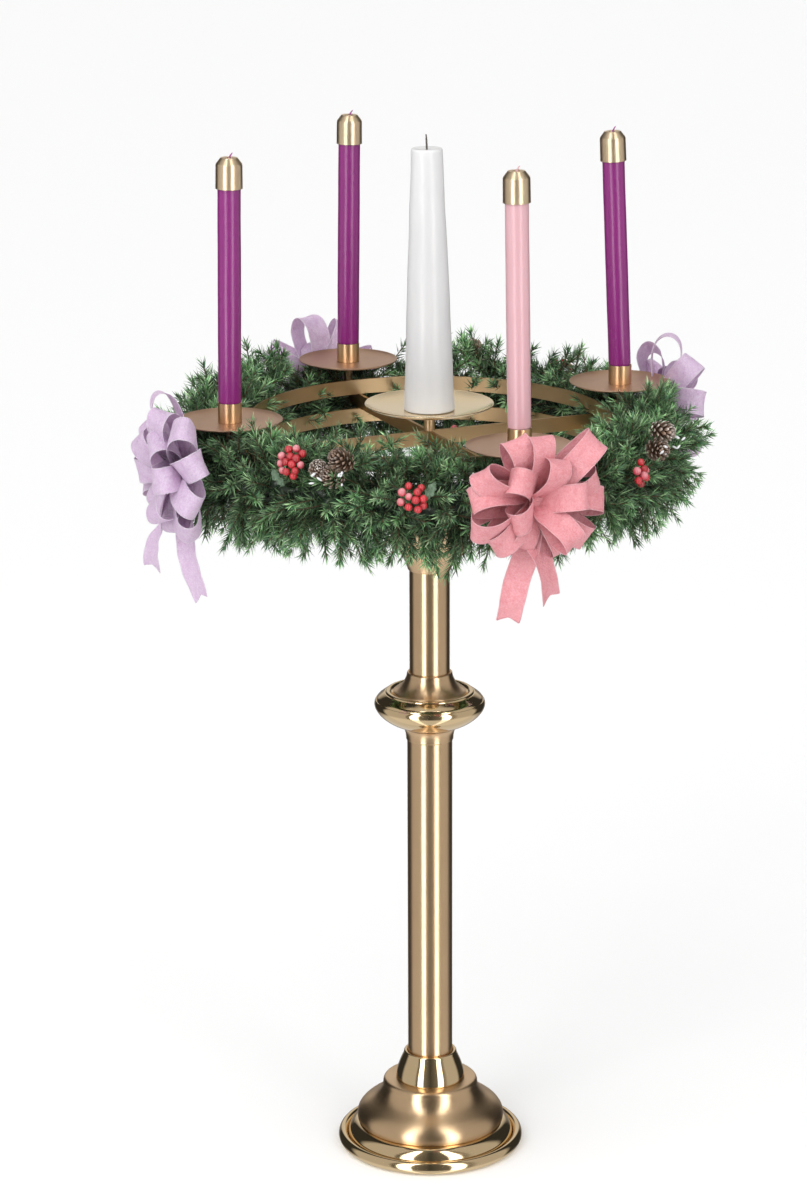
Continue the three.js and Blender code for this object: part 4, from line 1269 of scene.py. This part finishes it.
world = bpy.data.worlds.new("studio")
scene.world = world
world.use_nodes = True
wt = world.node_tree
wt.nodes.clear()
out = node(wt, "ShaderNodeOutputWorld")
tc = node(wt, "ShaderNodeTexCoord")
sep = node(wt, "ShaderNodeSeparateXYZ")
wt.links.new(tc.outputs["Generated"], sep.inputs[0])
X, Y, Z = sep.outputs
ca, sa = math.cos(math.radians(CAM_AZ)), math.sin(math.radians(CAM_AZ))
u = math_node(wt, "ADD", math_node(wt, "MULTIPLY", X, ca), math_node(wt, "MULTIPLY", Y, sa))
v = math_node(wt, "SUBTRACT", math_node(wt, "MULTIPLY", X, sa), math_node(wt, "MULTIPLY", Y, ca))
az = math_node(wt, "ARCTAN2", u, v)
t = math_node(wt, "ADD", math_node(wt, "DIVIDE", az, TAU), 0.5)


def deg(d):
    return d / 360 + 0.5


WALL = (0.52, 0.505, 0.48)
REAR = (0.24, 0.23, 0.22)
BLACK = (0.035, 0.035, 0.033)
# what the metal sees round the room, by angle from the camera: two tall soft boxes, pale walls, dark gaps
STOPS = [
    (deg(-180), REAR), (deg(-158), REAR), (deg(-150), BLACK), (deg(-112), BLACK),
    (deg(-102), WALL), (deg(-52), WALL), (deg(-47), (0.16, 0.15, 0.13)), (deg(-42), (0.16, 0.15, 0.13)), (deg(-39.5), (4.6, 4.6, 4.5)),
    (deg(-25.5), (4.6, 4.6, 4.5)), (deg(-23), (0.24, 0.23, 0.21)), (deg(0), (0.06, 0.06, 0.055)), (deg(25), (0.20, 0.19, 0.17)), (deg(28.5), (4.2, 4.2, 4.1)),
    (deg(42.5), (4.2, 4.2, 4.1)), (deg(45.5), (0.22, 0.20, 0.17)), (deg(52), (0.30, 0.28, 0.25)), (deg(60), WALL), (deg(104), WALL),
    (deg(114), BLACK), (deg(150), BLACK), (deg(158), REAR), (deg(180), REAR),
]
pattern = ramp(wt, t, STOPS)
behind = math_node(wt, "MULTIPLY", map_range(wt, Z, 0.06, 0.16, 0.0, 1.0), map_range(wt, math_node(wt, "ABSOLUTE", az), 2.62, 2.84, 0.0, 1.0))
pattern = mix_colour(wt, behind, pattern, (0.68, 0.66, 0.63))
high = map_range(wt, Z, 0.95, 0.99, 0.0, 1.0)
pattern = mix_colour(wt, high, pattern, (0.62, 0.605, 0.585))
low = map_range(wt, Z, -0.44, -0.62, 0.0, 0.80)
pattern = mix_colour(wt, low, pattern, (0.80, 0.79, 0.77))
bg_gloss = node(wt, "ShaderNodeBackground")
wt.links.new(pattern, bg_gloss.inputs["Color"])
bg_cam = node(wt, "ShaderNodeBackground")
bg_cam.inputs["Color"].default_value = (0.97, 0.97, 0.97, 1)


def lobe(az_deg, el_deg, power):
    """A broad soft light for the matt surfaces, brightest towards one direction."""
    a_, e_ = math.radians(CAM_AZ + az_deg), math.radians(el_deg)
    f = (math.sin(a_) * math.cos(e_), -math.cos(a_) * math.cos(e_), math.sin(e_))
    d_ = math_node(wt, "ADD", math_node(wt, "ADD", math_node(wt, "MULTIPLY", X, f[0]), math_node(wt, "MULTIPLY", Y, f[1])),
                   math_node(wt, "MULTIPLY", Z, f[2]))
    d_ = math_node(wt, "MAXIMUM", d_, 0.0)
    return math_node(wt, "MULTIPLY", math_node(wt, "POWER", d_, 3.0), power)


soft = math_node(wt, "ADD", math_node(wt, "ADD", lobe(-45, 38, 1.25), lobe(42, 30, 0.70)), 0.62)
bg_dif = node(wt, "ShaderNodeBackground")
bg_dif.inputs["Color"].default_value = (1.0, 1.0, 1.0, 1)
wt.links.new(soft, bg_dif.inputs["Strength"])
lp = node(wt, "ShaderNodeLightPath")
m1 = node(wt, "ShaderNodeMixShader")
wt.links.new(lp.outputs["Is Glossy Ray"], m1.inputs[0])
wt.links.new(bg_dif.outputs[0], m1.inputs[1])
wt.links.new(bg_gloss.outputs[0], m1.inputs[2])
m2 = node(wt, "ShaderNodeMixShader")
wt.links.new(lp.outputs["Is Camera Ray"], m2.inputs[0])
wt.links.new(m1.outputs[0], m2.inputs[1])
wt.links.new(bg_cam.outputs[0], m2.inputs[2])
wt.links.new(m2.outputs[0], out.inputs["Surface"])
world.cycles.sampling_method = "NONE"
